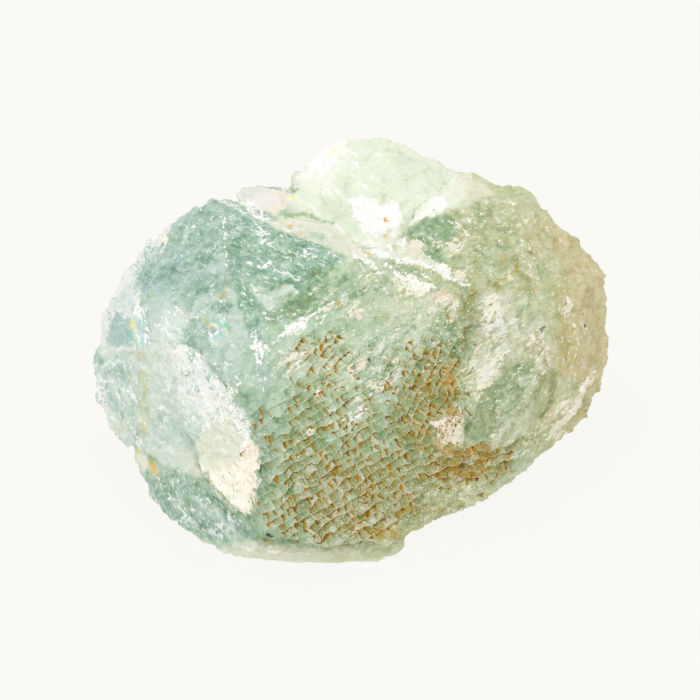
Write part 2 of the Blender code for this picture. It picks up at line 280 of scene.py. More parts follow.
def tile_height(right, up, patch):
    row, tile = tile_place(right, up, patch)
    chance = noise.cell(Vector((floor(row), floor(tile), 3)))
    depth = SHALLOWEST_TILE + (1 - SHALLOWEST_TILE) * chance
    return -depth * (ROW_RISE * part_of_one(row) + TILE_RISE * (1 - part_of_one(tile)))


def roof_height(right, up):
    across = up * cos(ROOF_ANGLE) - right * sin(ROOF_ANGLE)
    wander = noise.noise(Vector((right, up, 7)) / 5)
    return ROOF_RISE * (part_of_one(across / ROOF_STEP + ROOF_WANDER * wander) - 0.5)


def plate_height(point, plate):
    """The height of the cleavage plate that this point lies on: flat and a little tilted, with sloping edges."""
    place = point / plate["span"]
    distances, middles = noise.voronoi(place)[:2]
    shares = max(0, 1 - (distances[1] - distances[0]) / PLATE_EDGE) / 2
    return sum(
        share * (plate["rise"] * noise.cell(middle * LIFT_CHANCE)
                 + plate["tilt"] * 2 * plate["span"] * (place - middle).dot(
                     noise.cell_vector(middle * TILT_CHANCE) - Vector((0.5, 0.5, 0.5))))
        for share, middle in ((1 - shares, middles[0]), (shares, middles[1]))
    )


def relief(point, faces_eye):
    """How far the skin stands proud of the plain blocks at this point, in millimetres."""
    right, up = picture_place(point)
    height = LUMP_HEIGHT * noise.noise(point / LUMP_SPAN + Vector((5, 0, 9)))
    height += CHIP_HEIGHT * noise.noise(point / CHIP_SPAN)
    plates = (sum(plate_height(point, plate) for plate in PLATES) - PLATE_SINK) * (1 - CLEAN_SHARE * faces_eye)
    plain = 1
    for patch in TILE_PATCHES:
        tiled = inside_oval(right, up, patch["oval"]) * faces_eye * plain
        height += tiled * tile_height(right, up, patch)
        plain -= tiled
    roofed = inside_oval(right, up, ROOF_OVAL) * faces_eye * plain
    height += roofed * roof_height(right, up) + (plain - roofed) * plates
    height += plain * sum(plate_height(point, plate) for plate in SHARDS)
    above_ground = min(max((point.z - FLAT_SPOT_CUT) / QUIET_HEIGHT, 0), 1)
    return height * above_ground


# Colours, as the picture shows them: the light and shade that fell on each facet are painted into them along with the
# stone's own colour.
COLOURS = {
    "teal": (154, 188, 168), "deep teal": (138, 178, 152), "sea": (178, 202, 190), "slate": (166, 198, 192),
    "mist": (206, 223, 212), "haze": (216, 228, 226), "rim": (226, 234, 228), "white": (252, 253, 249),
    "leaf": (146, 176, 138), "deep leaf": (132, 164, 122), "fresh": (198, 218, 188), "sage": (178, 203, 174),
    "pale sage": (208, 218, 194), "moss": (156, 164, 114), "olive": (150, 150, 92), "bark": (144, 134, 74),
    "khaki": (190, 199, 160), "dull khaki": (180, 186, 144), "tan": (186, 180, 130), "sand": (208, 202, 162),
    "chalk": (232, 232, 216), "cream": (244, 243, 228), "film": (206, 206, 187), "fleck": (226, 229, 203), "ice": (238, 247, 243),
    "dull leaf": (150, 163, 122), "deep slate": (140, 173, 164), "teal blue": (158, 190, 178), "beige": (228, 232, 212), "peach": (226, 208, 176),
    "blush": (236, 226, 212), "rust": (190, 146, 36), "brown": (134, 94, 2),
    "ochre": (172, 138, 0), "orange": (224, 164, 78),
    "gold": (212, 202, 112), "black": (52, 52, 34), "lump green": (222, 235, 214), "lump": (234, 243, 229),
    "lilac": (232, 231, 226), "cyan": (176, 232, 226), "violet": (190, 186, 206), "lemon": (244, 240, 176),
}


def area(colour, points, strength=1, soft=6, broken=0, height=0):
    """A filled shape with these corners."""
    return {"shape": "area", "colour": colour, "points": points, "strength": strength, "soft": soft,
            "broken": broken, "height": height}


def oval(colour, place, strength=1, broken=0, height=0):
    """A soft oval: (middle x, middle y, half length, half width, slope in degrees, falling to the right)."""
    return {"shape": "oval", "colour": colour, "points": [place], "strength": strength, "soft": 0.7,
            "broken": broken, "height": height}


def line(colour, points, width=2, strength=1, broken=0.4, height=0):
    """A line through these points."""
    return {"shape": "line", "colour": colour, "points": points, "strength": strength, "soft": 1.6,
            "width": width, "broken": broken, "height": height}


# The run of hue from left to right, by picture x.
HUE_RUN = [(90, "mist"), (170, "mist"), (240, "sage"), (330, "sage"), (430, "khaki"), (540, "khaki"), (590, "tan")]

LEFT_MARKS = [
    # left block, the facet left of its vertical edge
    area("sea", [(212, 199), (172, 222), (172, 262), (160, 290), (185, 312), (214, 302), (227, 277), (223, 214)]),
    area("mist", [(213, 238), (222, 240), (227, 277), (214, 279), (206, 273), (214, 260)], 0.8, 4),
    area("slate", [(148, 262), (160, 258), (170, 250), (178, 262), (162, 272), (160, 292), (146, 292), (138, 283)]),
    # pale rim along the left edge: white frost and painted glow of light through the thin edge
    area("rim", [(206, 197), (172, 222), (172, 244), (160, 258), (147, 262), (137, 282), (120, 290), (100, 320),
                 (90, 350), (80, 300), (130, 230)]),
    area("haze", [(137, 282), (148, 290), (146, 318), (118, 322), (104, 330), (110, 300)], 1, 5, 0.5),
    area("rim", [(100, 300), (112, 300), (110, 330), (104, 350), (96, 350)], 1, 5),
    area("slate", [(114, 312), (131, 318), (137, 336), (130, 346), (112, 347), (106, 336)], 0.8, 6),
    oval("teal", (193, 266, 20, 7, -8), 0.7), oval("teal", (199, 290, 9, 6, -30), 0.8),
    oval("teal", (186, 303, 5, 6, 0), 0.6), oval("teal", (219, 306, 9, 6, 0), 0.7),
    oval("sea", (172, 283, 14, 12, 0), 0.5), oval("teal", (205, 250, 12, 9, 0), 0.35),
    oval("slate", (165, 265, 10, 7, -10), 0.7), oval("haze", (154, 280, 4, 12, 10), 0.8, 0.4),
    area("mist", [(187, 314), (192, 303), (203, 293), (219, 289), (210, 299), (200, 309), (192, 316)], 0.8, 3),
    area("cream", [(160, 234), (171, 232), (172, 244), (166, 250), (160, 246)], 0.7, 4),
    line("orange", [(160, 258), (164, 251), (168, 243)], 2.6, 0.8, 0.2),
    line("orange", [(219, 299), (222, 296), (226, 289)], 3, 0.95, 0.1),
    line("blush", [(211, 295), (217, 297)], 2.5, 0.8), oval("orange", (214, 249, 1.6, 1.2, 0), 0.9),
    oval("peach", (193, 261, 1.6, 1.4, 0), 0.9), oval("peach", (183, 312, 2.5, 2.5, 0), 0.8),
    oval("blush", (233, 300, 2, 1.5, 0), 0.8), oval("gold", (152, 297, 4, 6, 10), 0.85),
    oval("orange", (154, 301, 2, 2, 0), 0.9), oval("cream", (152, 298, 1.3, 1.3, 0), 0.9),
    line("blush", [(222, 217), (224, 224), (223, 234)], 3, 0.6, 0.6),
    line("blush", [(221, 217), (229, 216)], 2, 0.6, 0.3),
    line("mist", [(226, 236), (226, 277)], 2, 0.8, 0.1, 0.1),
    line("haze", [(218, 278), (232, 277), (240, 280)], 2, 0.7, 0.3),
    line("blush", [(207, 279), (215, 272)], 2, 0.7, 0.3), oval("white", (174, 307, 4, 3, 30), 0.95),
    line("white", [(176, 306), (186, 316), (185, 330)], 2, 0.5, 0.4),
    oval("blush", (165, 298, 3, 2.5, 0), 0.8), oval("blush", (157, 288, 1.6, 3, 0), 0.8),
    # left upper rim, with its vertical edge and painted rainbow reflections off cracks inside
    area("white", [(136, 298), (143, 296), (146, 314), (140, 320), (133, 314)], 0.9, 3, 0.2),
    area("white", [(140, 322), (146, 320), (147, 344), (140, 345), (135, 336)], 0.9, 3),
    line("slate", [(147, 296), (148, 318), (151, 338), (150, 346)], 2.2, 0.9, 0.1, -0.1),
    line("white", [(145, 296), (145, 320), (147, 345)], 1.6, 0.8, 0.1, 0.15),
    oval("cyan", (142, 325, 2.5, 5, 0), 0.7), oval("lemon", (138, 330, 2, 6, 20), 0.6),
    oval("violet", (149, 330, 2, 5, 0), 0.7), oval("lemon", (131, 326, 4, 1.6, -20), 0.6),
    oval("cyan", (134, 334, 4, 3, 30), 0.6), oval("gold", (139, 300, 2, 4, 0), 0.5),
    # under the facet: pale ground with a painted rainbow reflection off a crack inside
    area("mist", [(150, 296), (165, 296), (184, 316), (186, 345), (165, 352), (148, 348)], 0.9, 8),
    area("sea", [(186, 318), (200, 312), (228, 322), (240, 345), (238, 385), (214, 374), (188, 345)], 0.8, 8),
    oval("teal", (190, 336, 8, 14, 20), 0.3), oval("haze", (168, 325, 10, 8, 0), 0.5),
    line("slate", [(188, 321), (200, 315), (212, 318), (222, 326)], 2.4, 0.6, 0.2),
    line("cream", [(186, 321), (196, 317), (207, 310), (218, 316), (226, 324)], 2.2, 0.8, 0.3),
    oval("cyan", (219, 325, 7, 6, 40), 0.7), oval("cyan", (214, 335, 6, 4, -20), 0.5),
    oval("gold", (209, 329, 5, 4, 0), 0.6), oval("orange", (206, 322, 2, 1.6, 0), 0.7),
    oval("violet", (207, 330, 4, 5, 0), 0.6), oval("gold", (226, 327, 2, 2.5, 0), 0.8),
    oval("haze", (222, 338, 5, 3, 0), 0.8), oval("lemon", (204, 318, 4, 1.5, -20), 0.5),
    # the roof of the left block
    area("teal", [(222, 203), (240, 207), (276, 229), (318, 247), (346, 259), (332, 271), (316, 284), (300, 292),
                  (268, 286), (240, 282), (227, 277), (222, 216)], 1, 4),
    area("sea", [(214, 198), (226, 200), (258, 219), (272, 230), (250, 228), (222, 222)], 0.85, 6),
    area("deep teal", [(246, 272), (276, 274), (300, 282), (318, 268), (338, 262), (316, 285), (298, 292),
                       (262, 286)], 0.85, 6),
    oval("deep teal", (290, 258, 26, 8, 27), 0.5), oval("deep teal", (237, 256, 10, 14, 0), 0.35),
    line("haze", [(228, 203), (246, 211), (262, 221)], 1.6, 0.8, 0.3, 0.1),
    line("leaf", [(262, 223), (285, 232), (318, 248), (342, 259)], 2, 0.5, 0.3),
    area("white", [(252, 231), (262, 229), (268, 231), (271, 238), (262, 236), (254, 233)], 0.95, 2, 0.2, 0.1),
    line("mist", [(268, 238), (278, 245), (288, 253)], 4, 0.7, 0.3, 0.1),
    line("haze", [(262, 240), (274, 247), (290, 257)], 2, 0.6, 0.4),
    line("white", [(286, 258), (296, 263), (305, 268)], 2, 0.8, 0.3, 0.12),
    line("haze", [(308, 269), (318, 276)], 2, 0.8, 0.3, 0.1),
    line("haze", [(232, 240), (241, 239)], 1.6, 0.7, 0.4), oval("white", (261, 245, 2, 1.2, 20), 0.9),
    oval("haze", (257, 257, 1.5, 1.5, 0), 0.8), oval("haze", (233, 261, 2, 1.5, 0), 0.6),
    line("white", [(240, 273), (243, 266), (248, 264), (254, 267), (262, 266), (271, 262)], 3.4, 0.95, 0.35, 0.15),
    oval("white", (250, 264, 4, 3, 0), 0.8, 0.3), oval("haze", (266, 272, 3.5, 2.5, 0), 0.8, 0.3),
    line("white", [(276, 270), (284, 272), (292, 276), (301, 279)], 2, 0.9, 0.3, 0.12),
    line("haze", [(264, 254), (270, 258)], 1.6, 0.7), line("haze", [(300, 247), (308, 250)], 1.6, 0.5),
    area("mist", [(251, 287), (261, 283), (267, 292), (275, 299), (281, 310), (274, 312), (266, 303), (255, 297)],
         0.9, 3, 0.1, 0.1),
    area("mist", [(272, 300), (283, 286), (290, 288), (299, 292), (291, 300), (284, 309), (277, 306)], 0.75, 3, 0.1),
    line("haze", [(276, 312), (270, 303), (258, 296), (252, 287), (261, 284)], 1.5, 0.6, 0.3),
    line("white", [(293, 292), (298, 297), (300, 301)], 2.4, 0.8, 0.2),
    # between the roof and the centre
    area("leaf", [(300, 292), (318, 284), (332, 290), (345, 292), (332, 302), (302, 318), (284, 314), (290, 302)],
         0.95, 5),
    area("sage", [(326, 270), (341, 261), (352, 262), (354, 276), (346, 286), (330, 284)], 0.5, 5),
    area("fresh", [(326, 268), (341, 261), (346, 266), (344, 276), (330, 280)], 0.8, 4),
    oval("haze", (347, 258, 6, 4, -10), 0.6, 0.3),
    area("leaf", [(352, 258), (360, 255), (368, 262), (366, 276), (358, 282), (350, 272)], 0.75, 4),
    line("blush", [(357, 279), (362, 284), (368, 287)], 2.6, 0.8, 0.3),
    line("white", [(369, 261), (375, 270), (377, 280), (386, 290)], 4, 0.8, 0.45, 0.1),
    area("leaf", [(378, 258), (396, 266), (394, 288), (386, 284), (379, 272)], 0.6, 5),
    area("sage", [(346, 286), (384, 288), (396, 300), (372, 304), (350, 304)], 0.5, 6),
    oval("haze", (346, 297, 4, 6, -30), 0.6, 0.3), oval("cream", (311, 294, 3, 1.5, 20), 0.8, 0.2),
    area("blush", [(351, 311), (366, 307), (363, 319), (357, 318)], 0.9, 2, 0, 0.1),
    area("blush", [(345, 313), (350, 311), (353, 318), (349, 320)], 0.8, 2),
    oval("brown", (348, 316, 1.2, 1.2, 0), 0.8), line("orange", [(338, 303), (340, 309)], 2, 0.7, 0.1),
    line("white", [(268, 350), (275, 343), (283, 334), (293, 327), (301, 319)], 5, 0.9, 0.3, 0.2),
    line("white", [(299, 320), (311, 314), (322, 308), (335, 300)], 2.4, 0.9, 0.15, 0.2),
    area("blush", [(322, 306), (331, 300), (336, 302), (333, 308), (325, 310)], 0.7, 2, 0.2),
    area("white", [(283, 333), (290, 325), (299, 325), (292, 335), (284, 338)], 0.8, 3, 0.2),
    area("white", [(270, 343), (276, 336), (284, 338), (276, 348), (270, 349)], 0.8, 3, 0.3),
    oval("haze", (282, 321, 5, 4, 0), 0.6, 0.4), oval("sage", (320, 324, 14, 8, -20), 0.6),
    # dark speckled strip under the roof's left end
    area("teal", [(238, 282), (248, 281), (256, 300), (266, 322), (268, 352), (260, 340), (250, 318)], 0.8, 6, 0.4),
    area("mist", [(226, 290), (238, 288), (250, 310), (256, 335), (240, 345), (228, 322)], 0.75, 7, 0.2),
    line("haze", [(263, 308), (266, 320)], 3, 0.6, 0.3), oval("haze", (233, 350, 3, 6, 10), 0.7, 0.3),
    oval("haze", (243, 292, 3, 3, 0), 0.6, 0.5), oval("deep leaf", (246, 288, 4, 8, 20), 0.5, 0.4),
]


LOW_LEFT_MARKS = [
    # left lobe
    area("mist", [(92, 348), (130, 345), (160, 352), (170, 400), (170, 450), (160, 462), (120, 445), (95, 400)]),
    area("teal", [(92, 360), (97, 350), (103, 356), (107, 362), (98, 364)], 0.8, 3),
    line("haze", [(106, 348), (120, 350), (130, 348)], 5, 0.7, 0.4), oval("white", (120, 349, 3, 1.5, 0), 0.8),
    line("mist", [(108, 360), (122, 357), (134, 362)], 4, 0.7, 0.2),
    line("slate", [(105, 366), (113, 361), (126, 364)], 2, 0.7, 0.3, -0.1),
    area("sea", [(104, 368), (120, 364), (130, 372), (128, 384), (114, 382)], 0.9, 4, 0.2),
    oval("teal", (119, 371, 5, 4, 30), 0.6, 0.3), oval("slate", (125, 380, 4, 5, 0), 0.5),
    line("slate", [(103, 375), (108, 392), (116, 408), (124, 420)], 3, 0.7, 0.3, -0.12),
    line("haze", [(100, 372), (104, 384), (108, 398)], 4, 0.8, 0.4, 0.1),
    # pale rim down the lobe's left edge: white frost and painted glow of light through the thin edge
    line("rim", [(96, 366), (99, 384), (104, 402), (110, 420)], 5, 0.9, 0.3, 0.1),
    line("white", [(97, 388), (101, 398), (104, 405)], 4, 0.7, 0.4),
    line("haze", [(113, 378), (117, 392), (124, 404)], 4, 0.8, 0.4, 0.1),
    line("slate", [(118, 388), (122, 398), (128, 410)], 3, 0.6, 0.4, -0.1),
    line("cream", [(123, 388), (128, 392), (131, 404)], 4, 0.7, 0.4, 0.1),
    oval("sea", (126, 417, 6, 5, 40), 0.8, 0.2, -0.1), oval("sea", (120, 402, 4, 4, 0), 0.6, 0.3),
    oval("peach", (121, 427, 3, 5, 0), 0.4), oval("white", (111, 420, 2.5, 2, 0), 0.9),
    oval("white", (114, 432, 2.5, 3, 0), 0.8), line("sea", [(131, 376), (135, 395), (134, 415)], 2.5, 0.6, 0.4),
    line("white", [(132, 428), (137, 436), (142, 446)], 3.4, 0.9, 0.2, 0.12),
    line("haze", [(124, 420), (128, 434), (134, 446)], 3, 0.6, 0.4), oval("sea", (127, 441, 4, 4, 0), 0.6),
    line("khaki", [(140, 373), (143, 385), (144, 396), (146, 410), (147, 420)], 5, 0.9, 0.3),
    area("gold", [(139, 421), (146, 417), (150, 428), (144, 438), (139, 433)], 0.9, 3, 0.1),
    oval("orange", (141, 433, 2, 4, 0), 0.6), oval("gold", (142, 378, 2, 4, 0), 0.5),
    oval("khaki", (141, 357, 5, 5, 0), 0.7), oval("gold", (144, 407, 2, 6, 5), 0.5),
    area("beige", [(133, 452), (144, 454), (153, 470), (143, 474)], 1, 3, 0, 0.1),
    oval("gold", (138, 452, 3, 3.5, 40), 0.8), oval("leaf", (134, 449, 4, 3, 0), 0.5),
    # facet between the lobe and the slab, striated down to the right
    area("mist", [(150, 352), (172, 352), (186, 384), (198, 410), (197, 440), (192, 470), (160, 460), (148, 440),
                  (150, 380)], 0.9, 8),
    area("sea", [(160, 385), (178, 392), (192, 420), (192, 440), (172, 440), (160, 415)], 0.4, 8, 0.3),
    line("haze", [(158, 364), (164, 374), (168, 382)], 3, 0.8, 0.2, 0.1),
    line("haze", [(150, 390), (155, 398), (156, 404)], 4, 0.7, 0.3, 0.1),
    line("white", [(158, 407), (165, 416), (172, 423)], 3.4, 0.8, 0.3, 0.12),
    line("haze", [(174, 392), (179, 400), (183, 406)], 2.6, 0.7, 0.3, 0.1),
    line("slate", [(159, 418), (170, 428), (182, 436), (192, 443)], 5, 0.9, 0.25, -0.15),
    line("sea", [(150, 420), (158, 432), (170, 445)], 6, 0.8, 0.3, -0.1),
    line("haze", [(148, 424), (156, 438), (164, 452)], 3, 0.8, 0.3, 0.1),
    line("haze", [(166, 434), (174, 444), (180, 452)], 4, 0.6, 0.4, 0.1),
    line("mist", [(172, 400), (184, 424), (196, 436)], 2.6, 0.6, 0.4, 0.1),
    line("slate", [(168, 398), (178, 414), (188, 428)], 2, 0.5, 0.4, -0.1),
    line("sea", [(162, 358), (172, 378), (184, 398)], 2, 0.4, 0.4), oval("haze", (163, 350, 10, 5, 20), 0.5),
    area("beige", [(170, 450), (186, 448), (196, 462), (200, 474), (190, 476), (174, 466)], 0.6, 5, 0.3),
    oval("khaki", (190, 447, 4, 3, 0), 0.5, 0.2), oval("peach", (194, 461, 2, 2, 0), 0.7),
    area("beige", [(187, 462), (196, 463), (200, 474), (193, 478)], 0.7, 3, 0.2), oval("peach", (194, 479, 4, 2, 0), 0.8),
    # frosted slab: bright crumbly top, cream lower face with a scalloped edge
    area("white", [(163, 351), (172, 353), (179, 364), (186, 380), (196, 392), (199, 405), (205, 420), (215, 424),
                   (226, 419), (240, 427), (248, 434), (252, 428), (240, 410), (228, 394), (218, 379),
                   (205, 367), (195, 359), (189, 347), (180, 343), (176, 350)], 1, 3, 0.12),
    oval("blush", (177, 359, 5, 3, 40), 0.7, 0.3), oval("mist", (190, 363, 7, 3, 40), 0.6, 0.4),
    oval("beige", (206, 390, 7, 5, 40), 0.6, 0.4), oval("mist", (200, 381, 4, 5, 20), 0.5, 0.4),
    oval("khaki", (224, 412, 2.2, 1.6, 0), 0.8, 0.2), oval("beige", (231, 418, 6, 4, 40), 0.7, 0.3),
    line("mist", [(192, 352), (202, 366), (214, 378)], 2, 0.7, 0.4, -0.1),
    area("beige", [(197, 446), (200, 432), (209, 424), (222, 421), (232, 426), (246, 430), (250, 440), (247, 460),
                   (232, 470), (212, 474), (198, 462)], 1, 4),
    area("cream", [(246, 430), (252, 440), (262, 452), (260, 466), (257, 470), (258, 478), (259, 487), (255, 493),
                   (257, 500), (255, 509), (250, 516), (238, 508), (224, 494), (208, 479), (198, 464), (216, 470),
                   (234, 466), (246, 452)], 1, 3),
    line("white", [(197, 447), (199, 436), (206, 426), (215, 422)], 3, 0.9, 0.15, 0.15),
    area("white", [(234, 422), (246, 420), (250, 434), (246, 444), (238, 438)], 0.8, 4, 0.3),
    line("white", [(246, 430), (250, 440), (256, 448)], 3, 0.8, 0.2, 0.1),
    oval("white", (219, 438, 5, 2.5, 10), 0.9, 0.3), oval("white", (242, 446, 4, 4, 0), 0.7, 0.4),
    oval("khaki", (215, 446, 9, 3, -10), 0.45, 0.3), oval("mist", (222, 456, 12, 4, 10), 0.4, 0.4),
    line("khaki", [(205, 444), (222, 440), (238, 446)], 1.5, 0.5, 0.4), oval("blush", (252, 450, 5, 8, 0), 0.6, 0.2),
    line("khaki", [(200, 452), (215, 452), (232, 458)], 1.5, 0.45, 0.5),
    line("white", [(198, 460), (206, 472), (220, 486)], 2.6, 0.8, 0.3), oval("white", (238, 502, 8, 4, 10), 0.7, 0.2),
    oval("peach", (252, 486, 4, 10, 0), 0.5, 0.4), oval("peach", (251, 505, 4, 7, 0), 0.6, 0.4),
    # the dark bark line and the dark bark dot along the slab's jagged right edge are painted shadow under its overhang
    line("bark", [(249, 496), (253, 504), (251, 512)], 1.4, 0.5, 0.4), oval("lilac", (242, 482, 2, 1.6, 0), 0.9),
    oval("bark", (255, 491, 1.4, 1, 0), 0.6), line("blush", [(256, 446), (262, 454), (260, 464)], 2, 0.8, 0.2, 0.1),
    line("dull khaki", [(198, 466), (206, 478), (218, 490), (232, 507)], 3.4, 0.9, 0.1, -0.2),
    # dark green underside below it
    area("teal", [(142, 474), (150, 470), (165, 470), (184, 474), (200, 480), (214, 494), (232, 512), (250, 518),
                  (262, 530), (264, 544), (232, 552), (205, 543), (180, 530), (160, 510), (146, 488)], 0.95, 4),
    area("leaf", [(144, 452), (152, 456), (164, 466), (182, 473), (170, 476), (154, 470)], 0.8, 4),
    area("gold", [(149, 461), (153, 462), (160, 473), (157, 477), (152, 470)], 0.95, 2, 0.1),
    line("orange", [(152, 464), (156, 470), (158, 475)], 3, 0.7, 0.1), oval("peach", (152, 478, 2, 1.5, 0), 0.6),
    line("mist", [(156, 484), (158, 491), (160, 497)], 2.2, 0.8, 0.2), oval("deep leaf", (185, 504, 5, 5, 0), 0.6, 0.2),
    line("mist", [(160, 468), (172, 478), (184, 490)], 4, 0.45, 0.5), oval("leaf", (164, 482, 10, 5, 20), 0.4, 0.3),
    area("mist", [(190, 496), (204, 502), (222, 508), (224, 518), (214, 520), (200, 512)], 0.7, 5, 0.35, 0.1),
    line("haze", [(204, 508), (216, 514), (223, 520)], 3, 0.7, 0.3), oval("haze", (186, 519, 5, 4, 0), 0.8, 0.3),
    area("mist", [(170, 494), (184, 496), (192, 508), (176, 512)], 0.35, 6, 0.3),
    line("haze", [(211, 531), (217, 534), (222, 538)], 3.4, 0.9, 0.25), oval("haze", (219, 525, 5, 3, 30), 0.7, 0.3),
    area("mist", [(224, 520), (234, 524), (240, 536), (236, 546), (226, 536)], 0.7, 4, 0.3),
    oval("leaf", (250, 522, 9, 8, 20), 0.5), oval("deep leaf", (240, 516, 8, 3, 15), 0.4),
    line("deep leaf", [(196, 484), (210, 497), (226, 512)], 5, 0.45, 0.2, -0.2),
    line("fresh", [(152, 498), (164, 514), (180, 528), (200, 540)], 2, 0.5, 0.5),
    area("beige", [(204, 540), (228, 544), (264, 540), (270, 560), (236, 566), (200, 556)], 0.75, 6, 0.2),
]

CENTRE_MARKS = [
    # white streak at the head of the centre block
    area("white", [(254, 334), (262, 336), (264, 350), (267, 372), (262, 380), (255, 376), (252, 350)], 0.85, 3, 0.25,
         0.15),
    line("white", [(265, 345), (267, 365), (267, 398)], 2, 0.9, 0.2, 0.15),
    area("mist", [(243, 374), (252, 372), (264, 380), (262, 388), (250, 387)], 0.9, 4, 0.3),
    oval("white", (254, 378, 6, 4, 10), 0.7, 0.4), oval("white", (269, 388, 4, 3.6, 0), 0.9),
    oval("orange", (269, 388, 1.6, 1.3, 0), 0.8), oval("haze", (267, 372, 2, 8, 0), 0.5),
    area("leaf", [(236, 384), (250, 390), (264, 392), (262, 412), (252, 414), (240, 400)], 0.75, 6, 0.2),
    oval("teal", (243, 402, 8, 8, 30), 0.4), area("sage", [(268, 345), (300, 326), (330, 310), (345, 330),
                                                          (320, 360), (290, 352), (276, 356)], 0.7, 8),
    line("chalk", [(270, 360), (278, 354), (288, 352), (298, 357)], 2.4, 0.85, 0.2, 0.12),
    line("blush", [(283, 353), (293, 357)], 2.5, 0.6, 0.3),
    line("white", [(272, 381), (280, 375), (290, 369), (303, 361)], 2.4, 0.9, 0.2, 0.15),
    line("chalk", [(270, 366), (272, 374), (270, 384)], 2, 0.6, 0.4), oval("sage", (284, 364, 8, 5, -25), 0.7),
    area("sage", [(270, 384), (300, 368), (312, 372), (306, 396), (284, 404), (270, 404)], 0.5, 6),
    # tiled ground
    area("leaf", [(258, 396), (290, 384), (330, 388), (372, 392), (420, 356), (450, 345), (466, 368), (460, 410),
                  (440, 440), (430, 470), (420, 510), (404, 540), (340, 548), (264, 545), (255, 500), (262, 460),
                  (258, 430)], 0.75, 12),
    area("leaf", [(300, 400), (330, 420), (352, 440), (420, 376), (452, 366), (460, 400), (442, 440), (440, 480),
                  (412, 520), (390, 545), (300, 546), (276, 500), (284, 450)], 0.55, 26),
    area("moss", [(320, 470), (380, 468), (404, 440), (436, 380), (450, 372), (454, 400), (436, 440), (440, 476),
                   (412, 520), (385, 545), (320, 546), (310, 510)], 0.55, 26),
    area("bark", [(440, 448), (470, 446), (500, 444), (498, 460), (478, 478), (452, 486), (432, 472)], 0.6, 12),
    oval("leaf", (275, 450, 16, 30, 0), 0.5), oval("leaf", (370, 440, 16, 9, -25), 0.55),
    oval("leaf", (385, 462, 12, 7, -25), 0.35), oval("sage", (362, 470, 8, 8, 0), 0.45),
    oval("sage", (326, 492, 9, 9, 0), 0.4), oval("sage", (346, 505, 10, 7, -20), 0.4),
    oval("sage", (345, 535, 8, 6, -20), 0.45), oval("sage", (305, 466, 7, 6, 0), 0.4),
    # the smooth pale band that crosses it, with frosted patches
    area("sage", [(312, 392), (345, 352), (372, 326), (410, 318), (420, 338), (404, 368), (376, 396), (350, 432),
                  (330, 438), (322, 412)], 0.8, 10, 0.15),
    area("blush", [(347, 372), (352, 360), (360, 351), (366, 352), (367, 362), (358, 372), (346, 381)], 0.85, 3, 0.25),
    area("fresh", [(330, 388), (340, 378), (352, 374), (344, 386), (332, 396)], 0.6, 5, 0.2),
    oval("chalk", (377, 368, 6, 5, 0), 0.6, 0.4), oval("chalk", (376, 386, 9, 7, 0), 0.6, 0.35),
    oval("blush", (390, 381, 5, 5, 20), 0.6, 0.3), oval("chalk", (358, 399, 6, 4, -30), 0.6, 0.35),
    area("white", [(341, 424), (346, 414), (358, 409), (366, 404), (368, 411), (356, 420), (346, 426)], 0.7, 3, 0.3),
    oval("mist", (346, 430, 8, 8, 0), 0.4, 0.4), oval("chalk", (395, 362, 5, 5, 0), 0.5, 0.4),
    oval("deep leaf", (366, 380, 5, 5, 0), 0.4, 0.3), oval("deep leaf", (386, 362, 4, 5, 0), 0.4, 0.4),
    oval("chalk", (308, 433, 7, 3.5, -20), 0.65, 0.35), oval("haze", (333, 438, 8, 2.4, -10), 0.6, 0.4),
    oval("haze", (256, 434, 3, 4, 0), 0.7, 0.3), oval("haze", (302, 476, 4, 2.5, -20), 0.7, 0.3),
    oval("haze", (308, 453, 3, 3, 0), 0.7, 0.2), oval("mist", (384, 448, 5, 6, 0), 0.6, 0.4),
    line("cream", [(316, 395), (322, 390), (328, 389)], 2, 0.7, 0.2), line("cream", [(280, 398), (292, 402)], 2, 0.4),
    area("mist", [(362, 334), (396, 326), (420, 334), (408, 350), (380, 356), (360, 350)], 0.5, 8, 0.3),
    # dark tiles and specks
    oval("deep leaf", (262, 416, 3, 5, 30), 0.9), oval("deep leaf", (270, 411, 3, 6, 35), 0.8),
    oval("deep leaf", (274, 421, 3, 4, 30), 0.7), oval("deep leaf", (268, 440, 5, 4, 0), 0.5),
    oval("black", (262, 469, 1.4, 1.8, 0), 0.95), oval("black", (269, 534, 1.4, 1.6, 20), 0.95),
    oval("black", (340, 482, 1.2, 3, 10), 0.8), oval("black", (293, 485, 1.4, 2.2, 20), 0.8),
    oval("black", (367, 366, 1.4, 1.1, 0), 0.8), oval("black", (353, 374, 1.2, 0.9, 0), 0.7),
    oval("black", (370, 361, 1, 1, 0), 0.6), oval("black", (348, 395, 1.6, 1, 0), 0.6),
    oval("black", (391, 372, 1.2, 0.8, 0), 0.6), oval("black", (346, 401, 1.4, 0.9, 30), 0.6),
    # bottom lip
    area("beige", [(262, 540), (300, 548), (340, 552), (400, 546), (410, 560), (340, 570), (262, 566)], 0.7, 5),
    area("khaki", [(328, 549), (360, 545), (404, 540), (400, 556), (340, 564), (325, 560)], 0.8, 6),
    oval("peach", (340, 549, 10, 3, -10), 0.7, 0.3), oval("peach", (308, 552, 8, 2.4, 0), 0.6, 0.3),
    line("white", [(268, 552), (280, 550), (296, 554)], 3, 0.9, 0.5, 0.1), oval("cream", (276, 548, 10, 4, 0), 0.6, 0.3),
    line("rust", [(258, 536), (263, 540), (272, 543)], 2.4, 0.7, 0.3), oval("rust", (293, 549, 2, 1.6, 0), 0.6),
    oval("gold", (348, 559, 4, 1.6, 0), 0.5), line("rust", [(372, 535), (380, 540), (394, 540)], 2.4, 0.7, 0.3),
    line("rust", [(374, 534), (386, 530), (400, 532)], 1.8, 0.6, 0.4), oval("gold", (408, 530, 1.4, 1.2, 0), 0.9),
    line("brown", [(392, 526), (396, 538), (390, 542)], 1.6, 0.5, 0.4), oval("gold", (404, 537, 1.2, 2, 0), 0.9),
    area("dull khaki", [(370, 526), (404, 520), (412, 532), (402, 548), (372, 546)], 0.6, 5, 0.2),
]


